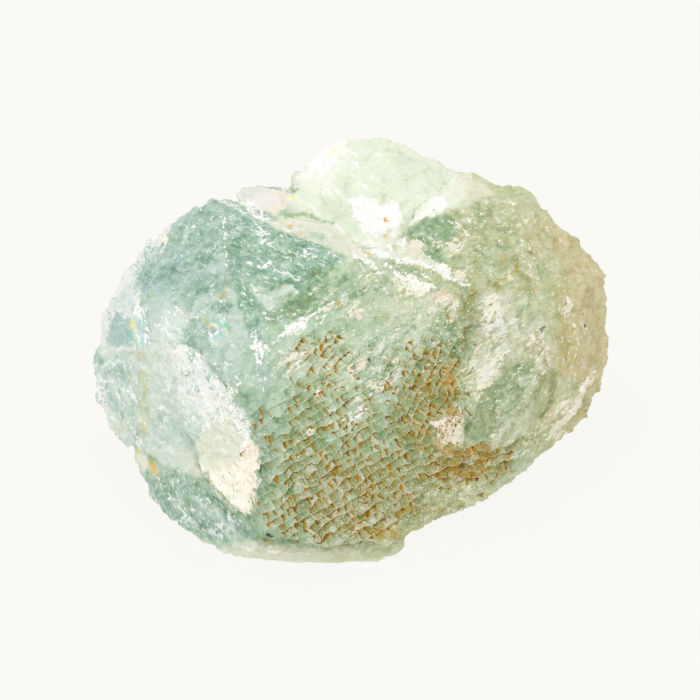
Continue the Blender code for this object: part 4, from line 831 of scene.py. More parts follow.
# Brushwork, region by region: colour, oval, count, length, lean, width, strength.
STROKES = [
    # left block: the dark roof, its left facet
    ("deep teal", (285, 240, 62, 22, 27), 22, 16, 27, 4, 0.55), ("haze", (280, 232, 58, 20, 27), 30, 9, 27, 1.3, 0.7),
    ("white", (288, 244, 52, 14, 27), 16, 6, 27, 1.4, 0.9),
    ("deep teal", (195, 240, 26, 32, 0), 20, 14, -25, 5, 0.4), ("teal blue", (192, 236, 30, 30, 0), 30, 10, -40, 2.6, 0.6), ("ice", (195, 232, 28, 32, 0), 40, 5, -45, 1.2, 0.7),
    ("white", (200, 215, 26, 12, -20), 16, 4, -40, 1.2, 0.8), ("slate", (180, 262, 34, 14, 10), 14, 16, 10, 3, 0.5),
    # left lobe
    ("deep teal", (185, 280, 36, 22, 0), 18, 18, -20, 3.5, 0.5), ("mist", (190, 288, 34, 22, 0), 20, 14, -25, 1.8, 0.6),
    ("ice", (195, 312, 44, 32, 0), 44, 5, -30, 1.3, 0.75), ("deep slate", (200, 325, 40, 30, 0), 26, 6, 30, 1.5, 0.5),
    ("deep slate", (180, 268, 34, 6, 12), 12, 16, 8, 2.2, 0.75), ("deep slate", (198, 290, 12, 5, -15), 9, 9, -15, 2.2, 0.8),
    ("deep slate", (186, 304, 8, 5, 75), 6, 7, 75, 2, 0.8), ("deep slate", (222, 306, 9, 6, 0), 8, 8, 10, 2.2, 0.8), ("deep slate", (150, 276, 8, 16, 0), 12, 9, 60, 1.8, 0.7),
    ("ice", (122, 298, 18, 28, 0), 24, 7, -60, 1.6, 0.8), ("slate", (128, 318, 20, 36, 0), 16, 10, 75, 2, 0.7), ("white", (140, 330, 12, 18, 0), 12, 7, 85, 1.5, 0.8),
    ("white", (168, 318, 16, 22, 0), 12, 7, 40, 1.6, 0.7), ("teal", (208, 352, 26, 40, 20), 30, 12, 60, 3, 0.5),
    ("haze", (210, 345, 28, 46, 0), 34, 8, 62, 1.5, 0.7), ("white", (228, 360, 20, 40, -20), 22, 7, 65, 1.4, 0.8),
    ("slate", (122, 385, 24, 30, 0), 24, 12, 20, 2.4, 0.6), ("ice", (118, 372, 20, 26, 0), 26, 8, 20, 1.5, 0.8), ("teal blue", (112, 378, 16, 24, 0), 16, 9, 20, 1.6, 0.7),
    ("mist", (158, 400, 40, 40, 0), 26, 12, 50, 2.4, 0.6), ("ice", (160, 405, 44, 46, 0), 60, 7, 52, 1.5, 0.85), ("sea", (130, 400, 26, 40, 0), 30, 9, 52, 1.8, 0.7),
    ("sea", (140, 420, 34, 30, 0), 20, 12, 45, 3, 0.6), ("teal", (178, 505, 34, 26, 45), 20, 16, 45, 4, 0.5),
    ("haze", (190, 500, 44, 26, 40), 30, 9, 42, 1.8, 0.7), ("white", (205, 515, 40, 16, 30), 22, 9, 35, 1.8, 0.8),
    # centre: the crack, the pale ridges that run up to the right
    ("deep teal", (248, 300, 10, 34, -20), 26, 12, 65, 3, 0.8), ("ice", (250, 305, 14, 36, -20), 26, 5, 60, 1.4, 0.8), ("teal", (262, 385, 16, 26, 0), 18, 12, 70, 3.5, 0.6),
    ("ice", (270, 298, 30, 22, 0), 30, 6, 40, 1.5, 0.8), ("deep leaf", (300, 290, 40, 18, -15), 24, 14, -35, 3.5, 0.55),
    ("chalk", (330, 305, 60, 16, -28), 26, 12, -33, 1.8, 0.7), ("white", (300, 330, 40, 10, -36), 18, 10, -36, 1.8, 0.8),
    ("deep leaf", (360, 285, 46, 14, 5), 24, 12, -30, 3, 0.5), ("fleck", (360, 290, 60, 22, 5), 44, 8, -32, 1.4, 0.7),
    ("white", (345, 262, 46, 8, 12), 18, 7, 25, 1.5, 0.8), ("white", (392, 268, 46, 12, 26), 26, 11, 30, 2.2, 0.85), ("sage", (380, 330, 60, 20, -30), 24, 16, -35, 4, 0.5),
    ("chalk", (400, 322, 60, 16, -35), 26, 12, -38, 1.8, 0.5), ("deep leaf", (395, 345, 50, 24, -35), 30, 10, -38, 2.4, 0.5), ("leaf", (330, 350, 50, 24, -20), 24, 14, -35, 4, 0.5),
    ("chalk", (372, 372, 40, 26, -40), 16, 14, -38, 3, 0.5), ("deep leaf", (384, 366, 34, 30, -20), 50, 7, -35, 2.6, 0.6), ("brown", (374, 366, 32, 22, -20), 16, 2, 30, 1.5, 0.8), ("haze", (366, 400, 44, 30, -30), 22, 8, -30, 2, 0.55),
    ("chalk", (290, 362, 26, 10, -30), 16, 16, -32, 1.8, 0.7), ("white", (262, 360, 8, 34, 0), 12, 12, 86, 1.6, 0.8), ("sea", (262, 356, 12, 28, 0), 18, 12, 86, 1.8, 0.8),
    ("leaf", (300, 410, 40, 24, -30), 14, 12, -35, 4, 0.4), ("leaf", (270, 425, 14, 36, 0), 12, 10, -35, 4, 0.5),
    # valley and right lobe
    ("leaf", (448, 330, 20, 44, 20), 26, 12, -60, 3, 0.6), ("deep leaf", (445, 345, 24, 34, 10), 26, 9, -60, 2.6, 0.6), ("chalk", (440, 310, 26, 20, -40), 16, 9, -45, 1.8, 0.6),
    ("fleck", (505, 325, 34, 40, 0), 26, 15, -55, 2, 0.5), ("haze", (498, 320, 28, 36, 0), 26, 10, -52, 1.6, 0.6), ("moss", (512, 330, 36, 44, 0), 44, 9, -52, 1.4, 0.55),
    ("dull khaki", (512, 335, 36, 40, 0), 34, 12, -50, 2.2, 0.6), ("dull leaf", (512, 335, 36, 40, 0), 40, 8, -50, 1.4, 0.6), ("haze", (490, 350, 14, 36, 15), 22, 10, -60, 1.8, 0.7),
    ("sage", (465, 380, 10, 40, 5), 20, 8, 70, 2.4, 0.5), ("fleck", (468, 385, 12, 40, 5), 18, 7, 60, 1.5, 0.6),
    ("fleck", (480, 372, 18, 34, 20), 26, 12, -60, 2.2, 0.7), ("chalk", (535, 356, 20, 34, 20), 22, 10, -50, 1.8, 0.6),
    ("dull leaf", (505, 395, 22, 40, 30), 30, 16, -58, 2.4, 0.5), ("fleck", (510, 390, 30, 40, 30), 24, 10, -55, 1.5, 0.6),
    ("fleck", (556, 420, 46, 14, -40), 26, 14, -38, 2.8, 0.6), ("white", (575, 400, 30, 10, -50), 10, 8, -45, 2, 0.6), ("chalk", (510, 440, 40, 16, -32), 12, 12, -34, 1.8, 0.5),
    ("dull khaki", (505, 245, 46, 42, 0), 34, 12, 40, 3, 0.5), ("fleck", (500, 242, 48, 42, 0), 110, 5, 50, 1.4, 0.8), ("white", (470, 232, 40, 22, -10), 26, 4, 20, 1.3, 0.8),
    ("deep leaf", (485, 240, 40, 40, 0), 60, 7, 35, 2.2, 0.5), ("moss", (520, 255, 34, 40, 0), 40, 7, 60, 2, 0.5),
    ("chalk", (436, 238, 26, 18, -20), 22, 7, 15, 1.8, 0.8), ("leaf", (525, 290, 30, 40, 0), 34, 8, 75, 2, 0.45),
    ("chalk", (545, 250, 26, 40, -20), 28, 7, 60, 1.6, 0.7), ("deep leaf", (428, 226, 18, 8, -22), 14, 9, -25, 3, 0.6),
    ("sand", (583, 320, 14, 62, 0), 26, 12, 80, 3.5, 0.5), ("chalk", (572, 330, 16, 54, 0), 24, 8, 80, 1.8, 0.6),
    ("tan", (585, 300, 10, 40, 0), 14, 10, 85, 3, 0.5), ("dull khaki", (540, 330, 30, 50, 0), 34, 12, 80, 3, 0.5),
    ("olive", (470, 470, 52, 18, -8), 34, 12, -15, 3.4, 0.7), ("rust", (472, 466, 46, 13, -8), 30, 6, -20, 1.9, 0.9),
    ("olive", (430, 500, 30, 22, -20), 24, 12, -25, 3.4, 0.6), ("moss", (500, 470, 44, 26, -30), 34, 14, -30, 3, 0.6), ("khaki", (480, 490, 50, 12, -25), 14, 14, -28, 3, 0.5),
    ("fleck", (300, 552, 60, 6, 0), 30, 8, 0, 1.8, 0.7), ("white", (262, 549, 26, 4, 5), 14, 6, 5, 1.5, 0.8),
    ("khaki", (375, 545, 28, 8, -10), 16, 10, -15, 2.5, 0.6), ("rust", (386, 533, 20, 7, -15), 22, 6, -15, 2, 0.6),
    ("rust", (415, 520, 30, 14, -30), 16, 5, -30, 1.8, 0.7), ("fleck", (475, 495, 44, 14, -25), 20, 8, -30, 1.8, 0.6),
    # lump, saddle, slab
    ("lump green", (385, 172, 46, 30, 15), 22, 18, 30, 4, 0.6), ("white", (350, 178, 46, 30, 0), 26, 12, 30, 2.4, 0.7),
    ("fresh", (400, 160, 40, 16, 25), 16, 12, 25, 2.2, 0.4), ("white", (378, 232, 24, 24, 50), 26, 10, 50, 2.2, 0.8),
    ("chalk", (330, 238, 40, 10, 25), 20, 10, 25, 1.8, 0.6), ("cream", (230, 450, 16, 36, -30), 18, 10, 55, 2, 0.5),
    ("white", (215, 385, 16, 50, -35), 24, 12, 55, 2.2, 0.7), ("chalk", (228, 430, 14, 20, 0), 14, 8, 55, 1.8, 0.5),
]
DEEP_MARKS = [
    # broad changes of tone under the brushwork
    oval("mist", (172, 415, 52, 56, 0), 0.45), oval("ice", (196, 392, 20, 40, -30), 0.35, 0.3), oval("beige", (470, 188, 22, 14, 10), 0.6), oval("sand", (548, 232, 24, 30, -30), 0.4),
    oval("sea", (272, 392, 18, 24, 0), 0.35), oval("pale sage", (350, 352, 26, 18, -30), 0.4), oval("moss", (432, 508, 26, 18, -20), 0.35),
    oval("sage", (512, 468, 22, 18, -30), 0.5), oval("sage", (272, 512, 22, 20, 0), 0.4),
    oval("mist", (234, 325, 34, 44, 0), 0.3), oval("rim", (190, 372, 26, 44, -30), 0.3), oval("moss", (428, 412, 28, 40, 15), 0.35),
    oval("sea", (268, 430, 16, 40, 0), 0.3), oval("sage", (352, 430, 24, 24, 0), 0.3), oval("moss", (312, 475, 26, 30, 0), 0.3),
    oval("khaki", (330, 550, 60, 10, 0), 0.4), oval("moss", (352, 500, 60, 34, 0), 0.22),
    line("gold", [(144, 372), (143, 392), (140, 412), (142, 432)], 3, 0.6, 0.5), oval("sand", (588, 268, 12, 24, 0), 0.4), oval("sea", (150, 290, 14, 40, 0), 0.4), oval("dull leaf", (470, 345, 12, 40, 15), 0.4),
    oval("sea", (245, 360, 40, 80, 0), 0.35), oval("dull leaf", (508, 402, 26, 38, 30), 0.4), oval("teal blue", (192, 240, 28, 24, 0), 0.4), oval("rim", (196, 385, 22, 40, -30), 0.5),
    oval("mist", (222, 352, 18, 30, 0), 0.4), oval("lump", (312, 195, 22, 22, 0), 0.5),
    oval("lump", (400, 165, 60, 26, 15), 0.35), oval("sand", (584, 320, 15, 62, 0), 0.5),
    oval("pale sage", (376, 272, 40, 12, 15), 0.5), oval("sage", (275, 385, 22, 34, 0), 0.4),
    area("teal", [(212, 201), (180, 222), (172, 240), (180, 258), (215, 262), (222, 240), (221, 216)], 0.5, 5, 0.1),
    area("teal", [(150, 262), (172, 256), (200, 262), (214, 272), (205, 290), (190, 300), (170, 292), (158, 278)],
         0.45, 5, 0.2),
    line("deep teal", [(214, 203), (250, 220), (300, 240), (344, 258)], 5, 0.7, 0.2),
    line("white", [(216, 199), (250, 214), (296, 232)], 1.6, 0.7, 0.3), line("ice", [(223, 216), (225, 240), (227, 277)], 1.6, 1, 0.15), line("slate", [(146, 262), (147, 300), (148, 345)], 1.8, 0.9, 0.1),
    # painted rainbow reflections off cracks inside the left upper rim
    line("cyan", [(141, 318), (142, 343)], 2.6, 1, 0.2), line("lemon", [(134, 322), (135, 338)], 2, 0.9), line("violet", [(138, 322), (139, 336)], 1.8, 0.9),
    line("gold", [(130, 318), (132, 327)], 2, 0.8), line("cyan", [(128, 330), (136, 342)], 2, 0.8),
    oval("teal blue", (195, 275, 44, 34, 0), 0.4), oval("slate", (160, 275, 22, 30, 0), 0.5), oval("deep teal", (219, 306, 10, 6, 0), 0.7), oval("deep teal", (188, 300, 5, 9, -20), 0.6),
    oval("deep teal", (200, 289, 9, 5, -30), 0.7), oval("deep teal", (246, 240, 12, 22, 10), 0.5, 0.2),
    # painted rainbow reflection off a crack inside, under the left facet
    oval("violet", (210, 330, 5, 3, 40), 0.9), oval("lemon", (213, 326, 5, 1.8, -20), 0.95),
    oval("cyan", (223, 325, 6, 2.2, 30), 0.95), oval("gold", (207, 322, 2.6, 2, 0), 0.9),
    oval("cyan", (220, 336, 6, 2, -30), 0.9), oval("violet", (217, 331, 5, 1.4, 20), 0.8),
    oval("lemon", (226, 331, 4, 1.6, 60), 0.9), oval("white", (215, 334, 3, 1, -20), 0.9),
    # flushed patch at the foot of the valley, pale lip along the bottom
    area("blush", [(430, 426), (446, 413), (462, 414), (464, 430), (456, 446), (438, 443)], 0.62, 5, 0.35),
    line("orange", [(448, 408), (456, 416), (462, 412)], 2.6, 0.8, 0.3), line("orange", [(430, 440), (444, 447)], 2.6, 0.7, 0.3),
    line("orange", [(452, 366), (451, 380), (456, 392)], 3, 0.7, 0.3),
    area("beige", [(232, 542), (300, 546), (350, 548), (372, 545), (360, 560), (290, 562), (236, 556)], 0.7, 6, 0.2),
    area("khaki", [(366, 546), (404, 538), (410, 528), (420, 530), (404, 552), (372, 560)], 0.6, 5),
    # right lobe: frosted film, streaked green below it
    area("film", [(478, 296), (500, 290), (522, 308), (546, 330), (556, 350), (548, 372), (520, 360), (500, 378),
                  (480, 402), (470, 384), (474, 340)], 0.45, 8, 0.1),
    area("chalk", [(484, 296), (500, 292), (504, 320), (492, 338), (482, 330)], 0.6, 4, 0.4), area("chalk", [(530, 334), (546, 338), (552, 362), (540, 372), (530, 352)], 0.5, 4, 0.35),
    area("chalk", [(466, 392), (480, 372), (500, 356), (504, 362), (488, 380), (474, 400)], 0.6, 4, 0.4),
    area("chalk", [(482, 300), (496, 294), (502, 312), (494, 330), (482, 326)], 0.5, 6, 0.3),
    area("pale sage", [(508, 442), (520, 420), (534, 398), (545, 384), (548, 396), (536, 418), (522, 440)], 0.6, 4, 0.2),
    line("pale sage", [(480, 442), (496, 414), (514, 388), (524, 374)], 2.4, 0.7, 0.4),
    line("pale sage", [(494, 446), (508, 424), (524, 398)], 2, 0.6, 0.4), oval("sage", (468, 390, 8, 30, 8), 0.4),
    oval("khaki", (552, 290, 10, 50, 0), 0.5, 0.2),
    # the jagged crack beside the centre, with the light flake to its right
    area("deep teal", [(238, 272), (246, 284), (250, 300), (257, 318), (263, 340), (254, 348), (247, 330),
                       (240, 312), (235, 290)], 0.9, 3, 0.35, -0.1),
    area("deep teal", [(240, 262), (262, 268), (290, 276), (302, 285), (284, 283), (274, 289), (258, 283),
                       (244, 276)], 0.7, 3, 0.2),
    area("deep leaf", [(262, 300), (272, 308), (300, 296), (316, 300), (290, 316), (272, 326), (262, 318)], 0.6, 5, 0.3),
    area("white", [(251, 332), (258, 330), (262, 352), (266, 380), (262, 390), (256, 372), (250, 350)], 0.75, 2.5, 0.35),
    area("mist", [(250, 284), (262, 286), (274, 292), (284, 284), (296, 288), (292, 300), (276, 306), (268, 313),
                  (262, 301), (253, 298)], 1, 1.6, 0.12, 0.15),
    line("deep teal", [(247, 284), (254, 300), (266, 316), (284, 308), (300, 300), (300, 286), (284, 280), (274, 288), (260, 282)], 2, 0.8, 0.25),
]
# Tiny black specks: x, y, half width, half height, slope.
SPECKS = [
    (544, 327.5, 2.3, 1.9, -40), (541.5, 330, 1.5, 1.5, 0), (581, 314.5, 1.4, 1.2, 0), (584.5, 325.5, 1.6, 1.3, 0),
    (474, 346.5, 1.3, 1.3, 0), (262, 469, 1.8, 1.8, 0), (339.4, 481, 1.6, 2.3, 0), (269, 534.6, 2.3, 1.5, 40),
    (293, 484, 1.5, 1.5, 0), (357.7, 428.5, 1.5, 1.7, 0), (336.4, 413.6, 1.5, 1.3, 0), (347.4, 401.5, 1.5, 1.3, 0),
    (354, 375, 1.7, 1.3, 0), (368.5, 359, 1.5, 1.7, 0), (368, 365, 1.4, 1.4, 0), (367.5, 369.5, 1.5, 1.3, 0),
    (408, 360, 1.5, 1.3, 0), (413, 356, 1.3, 1.7, 0),
]
MARKS += DEEP_MARKS + [mark for row in STROKES for mark in strokes(*row)]
MARKS += [oval("black", speck, 0.85) for speck in SPECKS]


# Everything from here works on arrays, one row per vertex.
EYE_DIRECTION = np.array((0, -cos(LOOK_DOWN), sin(LOOK_DOWN)))


def cell_chance(cells, salt):
    """An even random number from 0 to 1 for each row of whole numbers."""
    mixed = cells[:, 0] * 73856093 ^ cells[:, 1] * 19349663 ^ cells[:, 2] * 83492791 ^ salt * 40503
    mixed = (mixed & 0xFFFFFFFF ^ (mixed >> 7)) * 739987 & 0xFFFFFFFF
    mixed = (mixed ^ (mixed >> 13)) * 668265 & 0xFFFFFFFF
    mixed = (mixed ^ (mixed >> 15)) * 374761 & 0xFFFFFFFF
    return (mixed ^ (mixed >> 16)) / 0xFFFFFFFF


def cloud(points, span, salt=0):
    """Smooth random values from 0 to 1, varying over `span`."""
    place = points / span
    base = np.floor(place)
    share = place - base
    share = share * share * (3 - 2 * share)
    base = base.astype(np.int64)
    total = np.zeros(len(points))
    for corner in np.ndindex(2, 2, 2):
        weight = np.where(corner, share, 1 - share).prod(axis=1)
        total += weight * cell_chance(base + np.array(corner), salt)
    return total


def crumbs(points, span, salt=0):
    """Rough random values from 0 to 1, in three sizes from `span` down."""
    coarse, middle, fine = (cloud(points, span / 2.1**step, salt + step) for step in range(3))
    return np.clip(0.5 + 1.25 * (0.5 * coarse + 0.3 * middle + 0.2 * fine - 0.5), 0, 1)


def ramp(values, start, end):
    """0 before start, 1 after end, smooth between."""
    share = np.clip((values - start) / (end - start), 0, 1)
    return share * share * (3 - 2 * share)


def picture_pixels(points):
    """The pixel of the picture that each point is seen at, as columns x and y."""
    height = points[:, 2] - MIDDLE_HEIGHT
    near = height * sin(LOOK_DOWN) - points[:, 1] * cos(LOOK_DOWN)
    up = points[:, 1] * sin(LOOK_DOWN) + height * cos(LOOK_DOWN)
    scale = 1 - near / EYE_DISTANCE
    pixels = np.stack([points[:, 0] / scale / PIXEL, -up / scale / PIXEL], axis=1)
    return pixels + PICTURE_MIDDLE


def to_segment(pixels, start, end):
    """The distance from each pixel to one straight segment."""
    run = end - start
    share = np.clip((pixels - start) @ run / max(run @ run, 1e-9), 0, 1)
    return np.linalg.norm(pixels - start - share[:, None] * run, axis=1)


def inside_area(pixels, corners):
    """Whether each pixel is inside the outline, by counting the sides that it is left of."""
    inside = np.zeros(len(pixels), bool)
    x, y = pixels[:, 0], pixels[:, 1]
    for (x0, y0), (x1, y1) in zip(corners, np.roll(corners, -1, axis=0)):
        if y0 == y1:
            continue
        crosses = (y0 > y) != (y1 > y)
        inside ^= crosses & (x < (x1 - x0) * (y - y0) / (y1 - y0) + x0)
    return inside


def mark_shape(mark, pixels):
    """How much each pixel is covered by the mark's plain shape, from 0 to 1."""
    soft = mark["soft"]
    if mark["shape"] == "oval":
        x, y, half_length, half_width, slope = mark["points"][0]
        turn = radians(slope)
        away = pixels - (x, y)
        along = away[:, 0] * cos(turn) + away[:, 1] * sin(turn)
        across = away[:, 1] * cos(turn) - away[:, 0] * sin(turn)
        distance = np.hypot(along / half_length, across / half_width)
        return np.clip((1 + soft / 2 - distance) / soft, 0, 1)
    corners = np.array(mark["points"], float)
    if mark["shape"] == "line":
        pairs = zip(corners, corners[1:])
        distance = np.min([to_segment(pixels, start, end) for start, end in pairs], axis=0)
        return np.clip((mark["width"] / 2 + soft / 2 - distance) / soft, 0, 1)
    pairs = zip(corners, np.roll(corners, -1, axis=0))
    distance = np.min([to_segment(pixels, start, end) for start, end in pairs], axis=0)
    depth = np.where(inside_area(pixels, corners), distance, -distance)
    return np.clip(depth / soft + 0.5, 0, 1)


def mark_reach(mark):
    """The lowest and highest pixel that the mark can touch."""
    if mark["shape"] == "oval":
        x, y, half_length, half_width, _ = mark["points"][0]
        reach = 1.4 * max(half_length, half_width)
        return np.array((x - reach, y - reach)), np.array((x + reach, y + reach))
    corners = np.array(mark["points"], float)
    reach = mark["soft"] + mark.get("width", 0)
    return corners.min(axis=0) - reach, corners.max(axis=0) + reach


def mark_amounts(mark, pixels, crumble):
    """(rows, amounts): the rows that the mark touches, and how strongly."""
    low, high = mark_reach(mark)
    rows = np.flatnonzero(((pixels > low) & (pixels < high)).all(axis=1))
    if not len(rows):
        return rows, np.zeros(0)
    amounts = mark_shape(mark, pixels[rows])
    gaps = ramp(crumble[rows], 0.42, 0.62) * mark["broken"]
    return rows, amounts * (1 - gaps)


EDGE_WARP = 2.4
EDGE_WARP_SPAN = 0.9
FINE_WARP = 1.6
FINE_WARP_SPAN = 0.35
CRUMBLE_SPAN = 0.75
MARK_HEIGHT = 1.0
GRAIN_HEIGHT = 0.07
GRAIN_SPAN = 0.5
SHOWN_THINNING = 0.3
HIDDEN_THINNING = 0.7
SHADE_START = -0.05
SHADE_END = 0.22


def mesh_points(mesh):
    points = np.empty(len(mesh.vertices) * 3)
    mesh.vertices.foreach_get("co", points)
    return points.reshape(-1, 3)


def mesh_normals(mesh):
    normals = np.empty(len(mesh.vertices) * 3)
    mesh.vertices.foreach_get("normal", normals)
    return normals.reshape(-1, 3)


def ragged_pixels(points, pixels):
    """The pixels shifted a little at random, so that the marks have natural edges."""
    shifts = []
    for salt in (11, 12):
        wide = cloud(points, EDGE_WARP_SPAN, salt) - 0.5
        fine = cloud(points, FINE_WARP_SPAN, salt + 5) - 0.5
        shifts.append(2 * (EDGE_WARP * wide + FINE_WARP * fine))
    return pixels + np.stack(shifts, axis=1)


def facing_eye(normals):
    """1 where the skin faces the eye, 0 where it faces away."""
    return ramp(normals @ EYE_DIRECTION, SHADE_START, SHADE_END)


def marked_height(points, facing):
    """What the named marks add to or take from the skin, in millimetres."""
    pixels = ragged_pixels(points, picture_pixels(points))
    crumble = crumbs(points, CRUMBLE_SPAN, 3)
    height = np.zeros(len(points))
    for mark in MARKS:
        if mark["height"]:
            rows, amounts = mark_amounts(mark, pixels, crumble)
            height[rows] += MARK_HEIGHT * mark["height"] * amounts
    return height * facing


def raised(mesh):
    """Moves each vertex of the plain skin out by its relief, and lays the stone flat on the ground."""
    points = mesh_points(mesh) / MM
    normals = mesh_normals(mesh)
    facing = facing_eye(normals)
    height = np.array([relief(Vector(point), shown) for point, shown in zip(points, facing)])
    above_ground = np.clip((points[:, 2] - FLAT_SPOT_CUT) / QUIET_HEIGHT, 0, 1)
    grain = GRAIN_HEIGHT * (2 * crumbs(points, GRAIN_SPAN, 31) - 1)
    height += above_ground * (marked_height(points, facing) + grain)
    points += normals * height[:, None]
    points[:, 2] = np.maximum(points[:, 2], FLAT_SPOT_CUT)
    points += np.array(TO_FRAME)
    mesh.vertices.foreach_set("co", (points * MM).ravel())
    mesh.update()
    return facing


def thinned(mesh, facing):
    """The stone as one object of few enough triangles, with more of them on the visible side."""
    stone = bpy.data.objects.new("stone", mesh)
    bpy.context.scene.collection.objects.link(stone)
    group = stone.vertex_groups.new(name="thin first")
    for level in range(5):
        rows = np.flatnonzero(np.round((1 - facing) * 4) == level)
        group.add(rows.tolist(), SHOWN_THINNING + (HIDDEN_THINNING - SHOWN_THINNING) * level / 4, "REPLACE")
    fewer = stone.modifiers.new("fewer", "DECIMATE")
    fewer.ratio = SKIN_TRIANGLES / sum(len(polygon.vertices) - 2 for polygon in mesh.polygons)
    fewer.vertex_group = group.name
    fewer.vertex_group_factor = 2
    thin = baked(stone)
    stone.modifiers.clear()
    stone.vertex_groups.clear()
    stone.data = thin
    return stone


def clear_view(points, normals, mesh):
    """1 where nothing of the stone stands between the point and the eye, 0 elsewhere."""
    from mathutils.bvhtree import BVHTree

    tree = BVHTree.FromPolygons(
        [vertex.co for vertex in mesh.vertices], [polygon.vertices for polygon in mesh.polygons]
    )
    eye = (TO_FRAME + Vector((0, 0, MIDDLE_HEIGHT)) + EYE_DISTANCE * Vector(EYE_DIRECTION)) * MM
    clear = np.ones(len(points))
    for row, (point, normal) in enumerate(zip(points, normals)):
        toward = (eye - Vector(point)).normalized()
        start = Vector(point) + (Vector(normal) + toward) * 0.3 * MM
        if tree.ray_cast(start, toward)[0] is not None:
            clear[row] = 0
    return clear


STREAK_STRETCH = np.array((0.35, 1, 1.6))
SCRATCH_STRETCH = np.array((0.25, 1.2, 2))
HIDDEN_FROST = 0.8
HIDDEN_STREAK = 0.4
PAINT_GAIN = np.array((1.09, 1.04, 1.05))
MOST_LIGHT = 0.99

# Colours that lie on the stone as frost, crumb or crust. The others are the body of the crystal.
FROSTY = {"haze", "rim", "white", "chalk", "cream", "blush", "fleck", "ice"}

# Where rust fills the pits between the tiles: (x, y, half length, half width, slope), strength.
RUST_FIELDS = [
    ((350, 496, 70, 50, 0), 0.95), ((425, 400, 36, 56, 20), 1), ((335, 440, 60, 40, -20), 0.68),
    ((460, 466, 46, 19, -8), 0.9), ((320, 368, 30, 44, -10), 0.75), ((305, 520, 54, 32, 0), 0.7),
    ((390, 440, 30, 30, 0), 0.5), ((320, 410, 26, 36, 0), 0.7), ((270, 460, 30, 60, 0), 0.15),
]


def palette(name):
    return np.array(COLOURS[name]) / 255


def hue_run(pixels):
    stops = [x for x, _ in HUE_RUN]
    tones = np.array([palette(name) for _, name in HUE_RUN])
    return np.stack([np.interp(pixels[:, 0], stops, tones[:, part]) for part in range(3)], axis=1)


def bare_coat(pixels):
    """The stone before it is painted: the colour of its body, the colour of its frost, how much frost."""
    count = len(pixels)
    return {"body": hue_run(pixels), "tint": np.tile(palette("chalk"), (count, 1)), "frost": np.zeros(count)}


def lay(coat, rows, name, amounts):
    """Paints one colour over the coat, so that what shows is mixed by these amounts."""
    frosty = name in FROSTY
    layer, other = ("tint", 1) if frosty else ("body", -1)
    frost = coat["frost"][rows]
    old = (frost if frosty else 1 - frost) * (1 - amounts)
    total = np.maximum(old + amounts, 1e-6)
    share = (amounts / total)[:, None]
    coat[layer][rows] += (palette(name) - coat[layer][rows]) * share
    coat["frost"][rows] = frost * (1 - amounts) + (amounts if frosty else 0)


def hidden_coat(points, pixels):
    """The sides that the picture doesn't show: the same run of hue, with frost, streaks and a little rust."""
    coat = bare_coat(pixels)
    everywhere = np.arange(len(points))
    streak = crumbs(points @ np.diag(STREAK_STRETCH), 3, 41)
    left, right = ramp(-points[:, 0], -5, 20), ramp(points[:, 0], 0, 20)
    lay(coat, everywhere, "leaf", HIDDEN_STREAK * ramp(streak, 0.5, 0.75))
    lay(coat, everywhere, "teal", HIDDEN_STREAK * ramp(streak, 0.5, 0.25) * left)
    lay(coat, everywhere, "olive", HIDDEN_STREAK * ramp(streak, 0.5, 0.25) * right)
    lay(coat, everywhere, "mist", HIDDEN_STREAK * ramp(crumbs(points, 4, 55), 0.5, 0.6) * left)
    lay(coat, everywhere, "deep leaf", HIDDEN_STREAK * ramp(crumbs(points, 2.5, 57), 0.58, 0.64))
    lay(coat, everywhere, "pale sage", HIDDEN_STREAK * ramp(crumbs(points, 4, 56), 0.5, 0.6))
    frost = crumbs(points, 5, 45) * 0.72 + crumbs(points @ np.diag(SCRATCH_STRETCH), 1.4, 47) * 0.28
    lay(coat, everywhere, "chalk", HIDDEN_FROST * ramp(frost, 0.58, 0.63))
    lay(coat, everywhere, "white", 0.9 * ramp(frost, 0.63, 0.7))
    lay(coat, everywhere, "haze", HIDDEN_FROST * ramp(crumbs(points @ np.diag(SCRATCH_STRETCH), 1, 53), 0.6, 0.68))
    seam = np.abs(cloud(points, 5, 49) - 0.5) + 0.08 * cloud(points, 0.7, 50)
    lay(coat, everywhere, "rust", 0.5 * ramp(seam, 0.055, 0.03) * ramp(cloud(points, 7, 51), 0.5, 0.7))
    return coat


def marked_coat(points, pixels):
    """The visible side, painted mark by mark, with the light and shade that fell on its facets painted in with their
    colours.
    """
    coat = bare_coat(pixels)
    ragged = ragged_pixels(points, pixels)
    crumble = crumbs(points, CRUMBLE_SPAN, 3)
    for mark in MARKS:
        rows, amounts = mark_amounts(mark, ragged, crumble)
        lay(coat, rows, mark["colour"], mark["strength"] * amounts)
    return coat


def field_strength(fields, pixels):
    strength = np.zeros(len(pixels))
    for place, most in fields:
        shape = {"shape": "oval", "points": [place], "soft": 0.9}
        strength = np.maximum(strength, most * mark_shape(shape, pixels))
    return strength


def lattice(pixels):
    """Per vertex: row, distance along the row in tiles, and how far inside the tiled patch."""
    places = np.zeros((len(pixels), 3))
    for index in range(len(pixels)):
        right, up = (pixels[index] - PICTURE_MIDDLE) * (PIXEL, -PIXEL)
        shares = [inside_oval(right, up, patch["oval"]) for patch in TILE_PATCHES]
        patch = TILE_PATCHES[shares.index(max(shares))]
        row, tile = tile_place(right, up, patch)
        places[index] = row, tile - floor(row) * ROW_SHIFT, max(shares)
    return places


def eye_places(points):
    """(right, up, near) of each point, so that the grain can run along the picture's own directions."""
    height = points[:, 2] - MIDDLE_HEIGHT
    up = points[:, 1] * sin(LOOK_DOWN) + height * cos(LOOK_DOWN)
    near = height * sin(LOOK_DOWN) - points[:, 1] * cos(LOOK_DOWN)
    return np.stack([points[:, 0], up, near], axis=1)


def linear(colours):
    """Picture colours as light."""
    return np.where(colours < 0.04045, colours / 12.92, ((colours + 0.055) / 1.055) ** 2.4)


